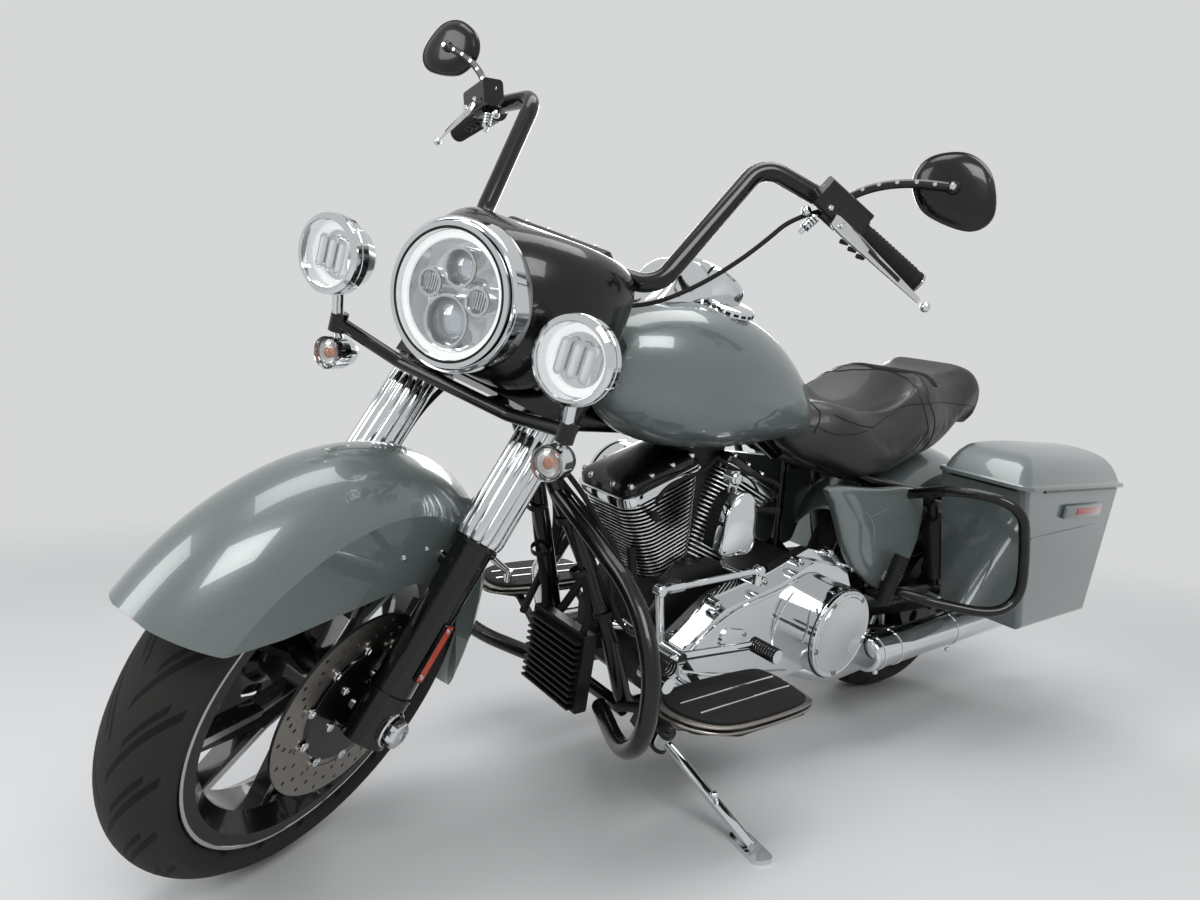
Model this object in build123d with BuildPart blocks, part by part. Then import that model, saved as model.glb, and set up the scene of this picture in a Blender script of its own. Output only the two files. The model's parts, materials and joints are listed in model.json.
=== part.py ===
from build123d import *
import os
from math import asin, atan2, cos, degrees, hypot, radians, sin, sqrt, tan

# Touring cruiser motorcycle, parked on its side stand with the steering on its left stop.
# It is drawn upright with straight steering: X forward, Y to the rider's left, Z up, in mm,
# with the rear axle over x = 0 and the floor at z = 0. The last section turns the steering,
# leans the whole machine and sets the origin under the middle of its outer box.

# ---- driving dimensions -------------------------------------------------------------
WHEELBASE = 1625
RAKE = 26.0                     # steering axis, degrees from vertical
TRAIL = 170
FORK_ANGLE = 29.25              # fork legs, degrees from vertical
STEER_LOCK = 28.0               # degrees either way from straight ahead
LEAN = 9.0                      # degrees to the left on the stand
FRONT_R = 319                   # tyre outer radius
FRONT_TYRE_W = 130
FRONT_CROWN = 70                # radius of the tread arc
FRONT_BEAD_R = 241
FRONT_RIM_W = 106
REAR_R = 325
REAR_TYRE_W = 180
REAR_CROWN = 96
REAR_BEAD_R = 228
REAR_RIM_W = 152
FLANGE_H = 15                   # rim lip above the bead seat
FLANGE_T = 6
FIT = 0.3                       # gap between pieces that seat on each other
RUN = 6                         # gap between pieces that move past each other
DISC_R = 150
DISC_IN_R = 103                 # inner edge of the braking band
DISC_T = 5
DISC_Y = 88
REAR_DISC_Y = -108
HUB_R = 34
FLANGE_R = 60                   # disc seat on the hub
FORK_Y = 132                    # fork leg centre from the middle plane
SLIDER_R = 31
FORK_TUBE_R = 24.5
SLIDER_TOP = 330                # along the leg from the axle
COVER_R = 40
COVER_T = 6
COVER_TOP = 508
CLAMP_T = 34
TUBE_TOP = 700
AXLE_R = 12.5
HEAD_Z = 932                    # headlamp centre
HEAD_X = 1530                   # headlamp face
RING_R = 112
LENS_R = 94
AUX = (1533, 226, 920)
AUX_R = 61
SIGNAL = (1499, 220, 761)
SIGNAL_R = 27
BAR_D = 32
GRIP_D = 38
CRANK = (885, 330)              # crankshaft axis, x and z
V_HALF = 22.5                   # each cylinder from vertical, degrees
PRIMARY_Y = 172                 # outer face of the primary cover
CLUTCH = (545, 323)             # clutch axis, x and z
DERBY_R = 100
DERBY_Y = 222                   # foot of the round clutch cover
BAG_OUT_Y = 415
BAG_IN_Y = 205
BAG_REAR_X = -372
BAG_FRONT_X = 205
BAG_BOTTOM_Z = 335
BAG_RIM_Z = 690
LID_H = 92
BAG_WALL = 5
LID_GAP = 0.5
LID_PIN_R = 4                   # hinge barrel along the lid's outer lower edge
LID_PIN_Y = BAG_OUT_Y + 2.5

FORK = Plane(
    origin=(WHEELBASE, 0, FRONT_R),
    x_dir=(cos(radians(FORK_ANGLE)), 0, sin(radians(FORK_ANGLE))),
    z_dir=(-sin(radians(FORK_ANGLE)), 0, cos(radians(FORK_ANGLE))),
)
STEER_AXIS = Axis((WHEELBASE + TRAIL, 0, 0), (-sin(radians(RAKE)), 0, cos(radians(RAKE))))
FRONT_HUB = Vector(WHEELBASE, 0, FRONT_R)
REAR_HUB = Vector(0, 0, REAR_R)

nodes = []                      # every finished piece: (part, name, "steered" or "fixed")


def keep(piece, name, group="fixed", solids=0):
    """Queues a finished piece for placing, with only its largest solids if a number is given."""
    body = piece.part
    if solids:
        body = Compound(children=body.solids().sort_by(SortBy.VOLUME)[-solids:])
    body.label = name
    nodes.append((body, name, group))


def on_axis(distance, offset=0.0, across=0.0):
    """A point on the steering axis at that height, moved forward and to the left."""
    x = WHEELBASE + TRAIL - distance * tan(radians(RAKE))
    return (x + offset, across, distance)


def pipe(points, diameter, bends):
    """A round bar along straight runs joined by tangent arcs."""
    with BuildPart() as bar:
        with BuildLine() as way:
            if len(points) > 2:
                FilletPolyline(*points, radius=bends)
            else:
                Line(*points)
        with BuildSketch(Plane(origin=way.line @ 0, z_dir=way.line % 0)):
            Circle(diameter / 2)
        sweep()
    return bar.part


def across(points):
    """The same route on the right-hand side."""
    return [(x, -y, z) for x, y, z in points]


def side_plane(y, facing=1):
    """A sketch plane at that y: its first axis is X, its second is Z."""
    return Plane(origin=(0, y, 0), x_dir=(1, 0, 0), z_dir=(0, -1, 0))


def wheel_plane(hub):
    """A half section through a wheel: first axis across the wheel, second axis radial."""
    return Plane(origin=hub, x_dir=(0, 1, 0), z_dir=(1, 0, 0))


def slab(outline, y0, y1, soft=0):
    """A plate with that side outline (x, z) between two y values, corners rounded by soft."""
    with BuildPart() as plate:
        with BuildSketch(side_plane(y1)):
            with BuildLine():
                if soft:
                    FilletPolyline(*outline, radius=soft, close=True)
                else:
                    Polyline(*outline, close=True)
            make_face()
        extrude(amount=y1 - y0)
    return plate.part


def drum(x, z, radius, y0, y1):
    """A round boss along Y between two y values."""
    with BuildPart() as boss:
        with BuildSketch(side_plane(y1)):
            with Locations((x, z)):
                Circle(radius)
        extrude(amount=y1 - y0)
    return boss.part


def rod(start, end, radius):
    """A straight round bar between two points."""
    start = Vector(start)
    run = Vector(end) - start
    with BuildPart() as bar:
        with BuildSketch(Plane(origin=start, z_dir=run)):
            Circle(radius)
        extrude(amount=run.length)
    return bar.part


def bullet(centre, rows):
    """A turned piece along X: rows of (x offset, radius) from back to front, closed on the axis."""
    outline = [(rows[0][0], 0)] + list(rows) + [(rows[-1][0], 0)]
    with BuildPart() as turned:
        with BuildSketch(Plane(origin=centre, x_dir=(1, 0, 0), z_dir=(0, -1, 0))):
            with BuildLine():
                Polyline(*outline, close=True)
            make_face()
        revolve(axis=Axis(centre, (1, 0, 0)))
    return turned.part


def ring(centre, inner_r, outer_r, x0, x1):
    """A ring about an axis along X, between two x offsets from its centre."""
    face = Plane(origin=centre, x_dir=(0, 1, 0), z_dir=(1, 0, 0))
    with BuildPart() as hoop:
        with BuildSketch(face.offset(x0)):
            Circle(outer_r)
            Circle(inner_r, mode=Mode.SUBTRACT)
        extrude(amount=x1 - x0)
    return hoop.part


def hull(sections):
    """A body lofted along X through rounded boxes (x, half width, low z, high z, corner)."""
    with BuildPart() as body:
        for x, half, low, high, corner in sections:
            with BuildSketch(Plane(origin=(x, 0, (low + high) / 2), x_dir=(0, 1, 0), z_dir=(1, 0, 0))):
                RectangleRounded(2 * half, high - low, corner)
        loft()
    return body.part


# ---- how it stands ------------------------------------------------------------------
def tyre_foot(place, hub, spin, radius, crown):
    """Height of a tyre's lowest point once placed."""
    centre = (place * Location(hub)).position
    axle = (place * Location(Vector(hub) + Vector(spin))).position - centre
    return centre.Z - (radius - crown) * sqrt(1 - axle.Z ** 2) - crown


def parked(pitch, height):
    """The leaned place of the whole machine for that pitch and height."""
    return Location((0, 0, height)) * Location((0, 0, 0), (-LEAN, 0, 0)) * Location((0, 0, 0), (0, pitch, 0))


steered_hub = Vertex(*FRONT_HUB).rotate(STEER_AXIS, STEER_LOCK)
steered_spin = Vertex(*(FRONT_HUB + Vector(0, 1, 0))).rotate(STEER_AXIS, STEER_LOCK)
front_hub_at = Vector(steered_hub.X, steered_hub.Y, steered_hub.Z)
front_spin = Vector(steered_spin.X, steered_spin.Y, steered_spin.Z) - front_hub_at
pitch = 0.0
for _ in range(12):
    tilt = parked(pitch, 0)
    front_low = tyre_foot(tilt, front_hub_at, front_spin, FRONT_R, FRONT_CROWN)
    rear_low = tyre_foot(tilt, REAR_HUB, (0, 1, 0), REAR_R, REAR_CROWN)
    pitch += degrees((front_low - rear_low) / WHEELBASE)
PARKED = parked(pitch, -rear_low)
GROUND = Plane(PARKED.inverse())


# ---- wheels -------------------------------------------------------------------------
def tyre(hub, radius, width, crown, bead_r, rim_w):
    """A solid tyre ring: rounded tread, bulging sidewalls and beads inside the rim lips."""
    half = width / 2
    edge = 0.86 * half
    edge_r = radius - crown + sqrt(crown ** 2 - edge ** 2)
    bead = rim_w / 2 - FLANGE_T - FIT
    lip_r = bead_r + FLANGE_H + 2
    side_r = (lip_r + edge_r) / 2
    with BuildPart() as ring:
        with BuildSketch(wheel_plane(hub)):
            with BuildLine():
                ThreePointArc((-edge, edge_r), (0, radius), (edge, edge_r))
                ThreePointArc((edge, edge_r), (half, side_r), (bead, lip_r))
                Polyline((bead, lip_r), (bead, bead_r + FIT), (-bead, bead_r + FIT), (-bead, lip_r))
                ThreePointArc((-bead, lip_r), (-half, side_r), (-edge, edge_r))
            make_face()
        revolve(axis=Axis(hub, (0, 1, 0)))
    return ring


def cast_wheel(hub, bead_r, rim_w, half_hub, left_seat, right_seat):
    """Rim barrel with lips, a hub with two flanges, and five forked spokes."""
    half = rim_w / 2
    lip = bead_r + FLANGE_H
    well = bead_r - 18
    inner = bead_r - 30
    spoke_t = 30
    fork_at = 0.46 * inner
    with BuildPart() as wheel:
        with BuildSketch(wheel_plane(hub)):
            with BuildLine():
                Polyline(
                    (-half, lip), (-half + FLANGE_T, lip), (-half + FLANGE_T, bead_r),
                    (-half + 20, bead_r), (-half + 32, well), (half - 32, well),
                    (half - 20, bead_r), (half - FLANGE_T, bead_r), (half - FLANGE_T, lip),
                    (half, lip), (half, bead_r - 8), (half - 26, inner),
                    (-half + 26, inner), (-half, bead_r - 8), close=True,
                )
            make_face()
        revolve(axis=Axis(hub, (0, 1, 0)))
        with BuildSketch(wheel_plane(hub)):
            with BuildLine():
                Polyline(
                    (-half_hub, AXLE_R + FIT), (half_hub, AXLE_R + FIT), (half_hub, HUB_R),
                    (left_seat, HUB_R), (left_seat, FLANGE_R), (left_seat - 9, FLANGE_R),
                    (left_seat - 18, 44), (right_seat + 18, 44), (right_seat + 9, FLANGE_R),
                    (right_seat, FLANGE_R), (right_seat, HUB_R), (-half_hub, HUB_R), close=True,
                )
            make_face()
        revolve(axis=Axis(hub, (0, 1, 0)))
        for turn in range(5):
            spoke_face = Plane(
                origin=hub,
                x_dir=(cos(radians(72 * turn + 54)), 0, sin(radians(72 * turn + 54))),
                z_dir=(0, 1, 0),
            )
            with BuildSketch(spoke_face):
                with BuildLine():
                    Polyline(
                        (38, -17), (fork_at, -22), (inner + 6, -62), (inner + 6, 62),
                        (fork_at, 22), (38, 17), close=True,
                    )
                make_face()
                with BuildLine():
                    Polyline((fork_at + 26, 0), (inner - 6, -38), (inner - 6, 38), close=True)
                make_face(mode=Mode.SUBTRACT)
            extrude(amount=spoke_t / 2, both=True)
    return wheel


def brake_disc(hub, seat, side):
    """A drilled band on a spoked carrier that seats on the hub flange; side is +1 or -1."""
    face = Plane(origin=(hub.X, seat, hub.Z), x_dir=(1, 0, 0), z_dir=(0, side, 0))
    with BuildPart() as disc:
        with BuildSketch(face):
            Circle(DISC_R)
            with PolarLocations(DISC_R - 10, 20):
                Circle(3.2, mode=Mode.SUBTRACT)
            with PolarLocations(DISC_R - 22, 20, start_angle=6):
                Circle(3.2, mode=Mode.SUBTRACT)
            with PolarLocations(DISC_R - 34, 20, start_angle=12):
                Circle(3.2, mode=Mode.SUBTRACT)
            Circle(DISC_IN_R, mode=Mode.SUBTRACT)
        extrude(amount=DISC_T)
        with BuildSketch(face):
            Circle(DISC_IN_R)
            Circle(HUB_R + FIT, mode=Mode.SUBTRACT)
            with PolarLocations(80, 5):
                SlotOverall(44, 24, rotation=90, mode=Mode.SUBTRACT)
        extrude(amount=DISC_T - 1)
        with BuildSketch(face):
            with PolarLocations(DISC_IN_R, 10, start_angle=18):
                Circle(8)
        extrude(amount=DISC_T + 2)
    return disc.part


front_tyre = tyre(FRONT_HUB, FRONT_R, FRONT_TYRE_W, FRONT_CROWN, FRONT_BEAD_R, FRONT_RIM_W)
keep(front_tyre, "front_tyre", "steered")

FRONT_HUB_HALF = FORK_Y - SLIDER_R - RUN
FRONT_SEAT = DISC_Y - DISC_T / 2
front_wheel = cast_wheel(FRONT_HUB, FRONT_BEAD_R, FRONT_RIM_W, FRONT_HUB_HALF, FRONT_SEAT, -FRONT_SEAT)
keep(front_wheel, "front_wheel", "steered")

with BuildPart() as front_discs:
    add(brake_disc(FRONT_HUB, FRONT_SEAT, 1))
    add(brake_disc(FRONT_HUB, -FRONT_SEAT, -1))
keep(front_discs, "front_discs", "steered")

ARM_IN_Y = 138                  # inner face of each swingarm leg
ARM_T = 24
PULLEY_Y = 98                   # inner face of the rear pulley
BELT_Y0 = PULLEY_Y + 2
PULLEY_R = 112
BELT_W = 24
BELT_T = 5
DRIVE_R = 54                    # gearbox pulley
REAR_HUB_HALF = ARM_IN_Y - RUN

rear_tyre = tyre(REAR_HUB, REAR_R, REAR_TYRE_W, REAR_CROWN, REAR_BEAD_R, REAR_RIM_W)
keep(rear_tyre, "rear_tyre")

rear_wheel = cast_wheel(REAR_HUB, REAR_BEAD_R, REAR_RIM_W, REAR_HUB_HALF, PULLEY_Y, REAR_DISC_Y)
keep(rear_wheel, "rear_wheel")

with BuildPart() as rear_pulley:
    add(drum(REAR_HUB.X, REAR_HUB.Z, PULLEY_R, PULLEY_Y, PULLEY_Y + BELT_W + 4))
    with BuildSketch(side_plane(PULLEY_Y + BELT_W + 4)):
        with Locations((REAR_HUB.X, REAR_HUB.Z)):
            Circle(HUB_R + FIT)
            with PolarLocations(76, 5):
                Circle(19)
    extrude(amount=BELT_W + 4, mode=Mode.SUBTRACT)
keep(rear_pulley, "rear_pulley")

with BuildPart() as rear_disc:
    add(brake_disc(REAR_HUB, REAR_DISC_Y, -1))
keep(rear_disc, "rear_disc")


# ---- fork, clamps and front axle ------------------------------------------------------
def leg_plane(y, s):
    """A plane across a fork leg at that distance from the axle; first axis points forward."""
    return Plane(origin=FORK.from_local_coords((0, y, s)), x_dir=FORK.x_dir, z_dir=FORK.z_dir)


def leg_drum(y, s0, s1, radius, bore=0.0):
    """A cylinder along a fork leg, bored through if asked."""
    with BuildPart() as drum_part:
        with BuildSketch(leg_plane(y, s0)):
            Circle(radius)
            if bore:
                Circle(bore, mode=Mode.SUBTRACT)
        extrude(amount=s1 - s0)
    return drum_part.part


def leg_block(s0, s1, x0, x1, y0, y1, soft=4):
    """A block in fork coordinates: along the leg, forward of it and across."""
    with BuildPart() as block:
        with BuildSketch(leg_plane((y0 + y1) / 2, s0)):
            with Locations(((x0 + x1) / 2, 0)):
                RectangleRounded(x1 - x0, y1 - y0, soft)
        extrude(amount=s1 - s0)
    return block.part


def stem_offset(s):
    """How far forward of the fork legs' plane the steering axis passes at that height."""
    base = FORK.to_local_coords(Vector(*STEER_AXIS.position))
    run = FORK.to_local_coords(Vector(*STEER_AXIS.position) + Vector(*STEER_AXIS.direction)) - base
    return (base + run * ((s - base.Z) / run.Z)).X


SKIRT_Y = 92                    # outer face of the front fender's sides
FENDER_BOSS_S = 252
CALIPER_GAP = 8                 # from the middle of the disc to each caliper wall

with BuildPart() as fork_legs:
    for y in (FORK_Y, -FORK_Y):
        add(leg_drum(y, -34, SLIDER_TOP - 30, SLIDER_R))
        add(leg_drum(y, -34, 44, SLIDER_R + 4))
        inward = SKIRT_Y if y > 0 else -SKIRT_Y
        x, _, z = FORK.from_local_coords((0, 0, FENDER_BOSS_S))
        add(drum(x, z, 10, min(y, inward), max(y, inward)))
    add(drum(WHEELBASE, FRONT_R, AXLE_R + FIT, -200, 200), mode=Mode.SUBTRACT)
keep(fork_legs, "fork_legs", "steered")

with BuildPart() as fork_tubes:
    for y in (FORK_Y, -FORK_Y):
        add(leg_drum(y, SLIDER_TOP - 30, COVER_TOP, COVER_R - COVER_T - FIT))
        add(leg_drum(y, COVER_TOP, TUBE_TOP, FORK_TUBE_R))
keep(fork_tubes, "fork_tubes", "steered")

with BuildPart() as fork_covers:
    for y in (FORK_Y, -FORK_Y):
        add(leg_drum(y, SLIDER_TOP - 32, COVER_TOP, COVER_R, COVER_R - COVER_T))
    for y in (FORK_Y, -FORK_Y):
        for turn in range(8):
            slot_face = Plane(
                origin=FORK.from_local_coords((0, y, SLIDER_TOP)),
                x_dir=Vector(*FORK.y_dir).rotate(Axis(FORK.origin, FORK.z_dir), 45 * turn + 22.5),
                z_dir=Vector(*FORK.x_dir).rotate(Axis(FORK.origin, FORK.z_dir), 45 * turn + 22.5),
            )
            with BuildSketch(slot_face.offset(20)):
                with BuildLine():
                    Polyline((-3, -12), (3, -12), (10, 150), (-10, 150), close=True)
                make_face()
            extrude(amount=30, mode=Mode.SUBTRACT)
keep(fork_covers, "fork_covers", "steered")

LOWER_S = COVER_TOP + 6
UPPER_S = 668
STEM_R = 15
with BuildPart() as triple_clamp:
    for s in (LOWER_S, UPPER_S):
        reach = stem_offset(s + CLAMP_T / 2)
        with BuildSketch(leg_plane(0, s)):
            with BuildLine():
                Polyline(
                    (-36, -FORK_Y - 38), (-36, -88), (26, -66), (26, 66), (-36, 88), (-36, FORK_Y + 38),
                    (38, FORK_Y + 38), (reach + 30, 34), (reach + 30, -34), (38, -FORK_Y - 38), close=True,
                )
            make_face()
            with Locations((0, FORK_Y), (0, -FORK_Y)):
                Circle(FORK_TUBE_R + FIT, mode=Mode.SUBTRACT)
        extrude(amount=CLAMP_T)
    add(rod(on_axis(796), on_axis(952), STEM_R))

with BuildPart() as front_axle:
    add(drum(WHEELBASE, FRONT_R, AXLE_R, -FORK_Y - 44, FORK_Y + 44))
    add(drum(WHEELBASE, FRONT_R, 20, FORK_Y + SLIDER_R + 4, FORK_Y + 50))
    add(drum(WHEELBASE, FRONT_R, 20, -FORK_Y - 50, -FORK_Y - SLIDER_R - 4))
keep(front_axle, "front_axle", "steered")

with BuildPart() as front_calipers:
    for side in (1, -1):
        low_y = min(side * 64, side * 114)
        add(leg_block(62, 174, -98, -SLIDER_R - 2, low_y, low_y + 50, 8))
        add(leg_block(84, 152, -SLIDER_R - 4, -20, low_y + 20 * (1 + side) / 2 + 2, low_y + 48 - 20 * (1 - side) / 2, 2))
        add(drum(WHEELBASE, FRONT_R, DISC_R + RUN, side * DISC_Y - CALIPER_GAP, side * DISC_Y + CALIPER_GAP), mode=Mode.SUBTRACT)
        add(leg_drum(side * FORK_Y, 40, 200, SLIDER_R), mode=Mode.SUBTRACT)
keep(front_calipers, "front_calipers", "steered")

REFLECTOR_T = 4
with BuildPart() as fork_reflectors:
    for side in (1, -1):
        low_y = min(side * (FORK_Y + SLIDER_R - 1), side * (FORK_Y + SLIDER_R + REFLECTOR_T))
        add(leg_block(78, 170, -11, 11, low_y, low_y + REFLECTOR_T + 1, 2))
    for side in (1, -1):
        add(leg_drum(side * FORK_Y, 40, 200, SLIDER_R), mode=Mode.SUBTRACT)
keep(fork_reflectors, "fork_reflectors", "steered")

# ---- front fender ---------------------------------------------------------------------
FENDER_HUB = (1640, 0, 330)
FENDER_R = 376
FENDER_T = 3
SHOULDER_R = 306
# side outline (x, z) of what is left of the turned shell
FENDER_SIDE = [
    (1976, 592), (1944, 544), (1888, 518), (1800, 508), (1560, 508), (1478, 486), (1436, 446),
    (1398, 380), (1366, 300), (1330, 200), (1290, 164), (1200, 164), (1200, 760), (2100, 760),
]
with BuildPart() as front_fender:
    with BuildSketch(Plane(origin=FENDER_HUB, x_dir=(0, 1, 0), z_dir=(1, 0, 0))):
        with BuildLine():
            ThreePointArc((-SKIRT_Y, SHOULDER_R), (0, FENDER_R), (SKIRT_Y, SHOULDER_R))
            Line((SKIRT_Y, SHOULDER_R), (SKIRT_Y, 150))
            Line((SKIRT_Y, 150), (SKIRT_Y - FENDER_T, 150))
            Line((SKIRT_Y - FENDER_T, 150), (SKIRT_Y - FENDER_T, SHOULDER_R))
            ThreePointArc(
                (SKIRT_Y - FENDER_T, SHOULDER_R), (0, FENDER_R - FENDER_T),
                (FENDER_T - SKIRT_Y, SHOULDER_R),
            )
            Line((FENDER_T - SKIRT_Y, SHOULDER_R), (FENDER_T - SKIRT_Y, 150))
            Line((FENDER_T - SKIRT_Y, 150), (-SKIRT_Y, 150))
            Line((-SKIRT_Y, 150), (-SKIRT_Y, SHOULDER_R))
        make_face()
    revolve(axis=Axis(FENDER_HUB, (0, 1, 0)))
    add(slab(FENDER_SIDE, -150, 150), mode=Mode.INTERSECT)
keep(front_fender, "front_fender", "steered")

# ---- lamps and their bar --------------------------------------------------------------
HEAD = (HEAD_X, 0, HEAD_Z)
LAMP_T = 8
with BuildPart() as headlamp_ring:
    add(ring(HEAD, LENS_R, RING_R - 8, -42, 6))
    add(ring(HEAD, RING_R - 8, RING_R, -60, -6))

# bowls in the lamp: y, z, radius
HEAD_BOWLS = [(0, 42, 30), (0, -38, 40), (44, 6, 22), (-44, 6, 22)]
with BuildPart() as headlamp:
    add(headlamp_ring.part)
    with BuildSketch(Plane(origin=HEAD, x_dir=(0, 1, 0), z_dir=(1, 0, 0)).offset(-42)):
        Circle(LENS_R)
    extrude(amount=12)
    with BuildSketch(Plane(origin=HEAD, x_dir=(0, 1, 0), z_dir=(1, 0, 0)).offset(-30)):
        Circle(LENS_R)
        Circle(LENS_R - 14, mode=Mode.SUBTRACT)
        for y, z, radius in HEAD_BOWLS:
            with Locations((y, z)):
                Circle(radius)
    extrude(amount=22)
    with BuildSketch(Plane(origin=HEAD, x_dir=(0, 1, 0), z_dir=(1, 0, 0)).offset(-8)):
        for y, z, radius in HEAD_BOWLS:
            with Locations((y, z)):
                Circle(radius - 5)
    extrude(amount=-18, mode=Mode.SUBTRACT)
keep(headlamp, "headlamp", "steered")

NACELLE_T = 4
# front to back: x, half width, low z, high z, corner
NACELLE = [
    (HEAD_X - 42, RING_R - 6, HEAD_Z - RING_R + 6, HEAD_Z + RING_R - 6, RING_R - 10),
    (1440, 142, 808, 1052, 96),
    (1360, 170, 812, 1052, 74),
    (1290, 172, 880, 1042, 56),
]
LOBE_R = 45
with BuildPart() as nacelle:
    for x, half, low, high, corner in NACELLE:
        with BuildSketch(Plane(origin=(x, 0, (low + high) / 2), x_dir=(0, 1, 0), z_dir=(1, 0, 0))):
            RectangleRounded(2 * half, high - low, corner)
    loft()
    for side in (1, -1):
        add(leg_drum(side * FORK_Y, COVER_TOP, UPPER_S - 60, LOBE_R))
    inside = [
        (x - (10 if row == 0 else 0) - (30 if row == 3 else 0), half - NACELLE_T, low + NACELLE_T,
         high - NACELLE_T, corner - NACELLE_T)
        for row, (x, half, low, high, corner) in enumerate(NACELLE)
    ]
    add(hull(inside), mode=Mode.SUBTRACT)
    for side in (1, -1):
        add(leg_drum(side * FORK_Y, COVER_TOP - 20, TUBE_TOP + 30, COVER_R + FIT), mode=Mode.SUBTRACT)
    for s in (LOWER_S, UPPER_S):
        add(leg_block(s - 1, s + CLAMP_T + 1, -60, stem_offset(s) + 36, -FORK_Y - 39, FORK_Y + 39, 16),
            mode=Mode.SUBTRACT)
    add(slab([(1180, 700), (1180, 990), (1345, 990), (1440, 700)], -88, 88), mode=Mode.SUBTRACT)
    add(slab([(1240, 1000), (1240, 1100), (1322, 1100), (1322, 1000)], -108, 108), mode=Mode.SUBTRACT)
    add(bullet(HEAD, [(-60 - FIT, RING_R + FIT), (60, RING_R + FIT)]), mode=Mode.SUBTRACT)
keep(nacelle, "nacelle", "steered", 1)

BAR_LAMP_X = 1492
BAR_LAMP_Z = 812
BOSS_R = 14
with BuildPart() as light_bar:
    add(pipe([
        (BAR_LAMP_X, AUX[1], BAR_LAMP_Z), (1462, 110, 786), (1462, -110, 786),
        (BAR_LAMP_X, -AUX[1], BAR_LAMP_Z),
    ], 22, 40))
    for side in (1, -1):
        add(rod((BAR_LAMP_X, side * AUX[1], BAR_LAMP_Z - 16), (BAR_LAMP_X, side * AUX[1], BAR_LAMP_Z + 16), BOSS_R))
        add(rod((1462, side * 62, 786), (1398, side * 62, 786), 9))
    add(leg_block(LOWER_S, LOWER_S + CLAMP_T, 20, stem_offset(LOWER_S) + 31, -90, 90, 2), mode=Mode.SUBTRACT)
keep(light_bar, "light_bar", "steered")

# turned back to front: x offset, radius
AUX_SHELL = [(-66, 16), (-58, 34), (-40, 48), (-16, 56), (-12, AUX_R), (12, AUX_R), (16, AUX_R - 6)]
with BuildPart() as aux_lamps:
    for side in (1, -1):
        centre = (AUX[0], side * AUX[1], AUX[2])
        add(bullet(centre, AUX_SHELL))
        add(rod((BAR_LAMP_X + 6, side * AUX[1], BAR_LAMP_Z + 16), (AUX[0] - 22, side * AUX[1], AUX[2] - 40), 9))
    for side in (1, -1):
        face = Plane(origin=(AUX[0] + 16, side * AUX[1], AUX[2]), x_dir=(0, 1, 0), z_dir=(1, 0, 0))
        with BuildSketch(face):
            Circle(AUX_R - 10)
        extrude(amount=-26, mode=Mode.SUBTRACT)
        with BuildSketch(face.offset(-26)):
            with Locations((0, 0), (20, 0), (-20, 0)):
                SlotOverall(52, 15, rotation=90)
        extrude(amount=14)
    add(light_bar.part, mode=Mode.SUBTRACT)
keep(aux_lamps, "aux_lamps", "steered")

SIGNAL_GLASS = [(0, SIGNAL_R - 2), (5, SIGNAL_R - 4), (10, SIGNAL_R - 12)]
# headlamp, auxiliary and signal glasses
with BuildPart() as lamp_glasses:
    with BuildSketch(Plane(origin=HEAD, x_dir=(0, 1, 0), z_dir=(1, 0, 0))):
        Circle(LENS_R - FIT)
    extrude(amount=3)
    for side in (1, -1):
        with BuildSketch(Plane(origin=(AUX[0] + 8, side * AUX[1], AUX[2]), x_dir=(0, 1, 0), z_dir=(1, 0, 0))):
            Circle(AUX_R - 10 - FIT)
        extrude(amount=3)
    for side in (1, -1):
        add(bullet((SIGNAL[0] + 4, side * SIGNAL[1], SIGNAL[2]), SIGNAL_GLASS))
keep(lamp_glasses, "lamp_glasses", "steered")

SIGNAL_SHELL = [(-52, 8), (-46, 16), (-34, 23), (-18, SIGNAL_R), (4, SIGNAL_R)]
with BuildPart() as turn_signals:
    for side in (1, -1):
        add(bullet((SIGNAL[0], side * SIGNAL[1], SIGNAL[2]), SIGNAL_SHELL))
        add(rod((SIGNAL[0] - 14, side * SIGNAL[1], SIGNAL[2] + 20), (BAR_LAMP_X, side * AUX[1], BAR_LAMP_Z - 16), 7))
    add(light_bar.part, mode=Mode.SUBTRACT)
keep(turn_signals, "turn_signals", "steered")

# ---- handlebar and controls -------------------------------------------------------------
BAR = [(1278, 0, 1014), (1250, 184, 1022), (1108, 236, 1262), (1050, 341, 1242), (946, 514, 1168)]
GRIP_AXIS = (Vector(BAR[4]) - Vector(BAR[3])).normalized()
with BuildPart() as handlebar:
    with BuildLine() as bar_way:
        FilletPolyline(*[BAR[0], *BAR[1:]], radius=48)
    with BuildSketch(Plane(origin=BAR[0], z_dir=bar_way.line % 0)):
        Circle(BAR_D / 2)
    sweep()
    mirror(about=Plane.XZ)
keep(handlebar, "handlebar", "steered")

with BuildPart() as bar_risers:
    for side in (1, -1):
        add(slab([(1262, 958), (1322, 930), (1330, 948), (1306, 1034), (1252, 1034)], side * 62 - 20, side * 62 + 20, 3))
    add(slab([(1256, 1026), (1256, 1040), (1318, 1046), (1318, 1026)], -104, 104, 4))
    add(pipe([BAR[0], (1264, 92, 1018)], BAR_D + 0.2, 1), mode=Mode.SUBTRACT)
    add(pipe([BAR[0], (1264, -92, 1018)], BAR_D + 0.2, 1), mode=Mode.SUBTRACT)
    add(handlebar.part, mode=Mode.SUBTRACT)
    add(leg_block(UPPER_S - 80, UPPER_S + CLAMP_T, -60, 90, -170, 170, 4), mode=Mode.SUBTRACT)
with BuildPart() as fork_clamps:
    add(triple_clamp.part)
    add(bar_risers.part)
keep(fork_clamps, "fork_clamps", "steered")


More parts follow.
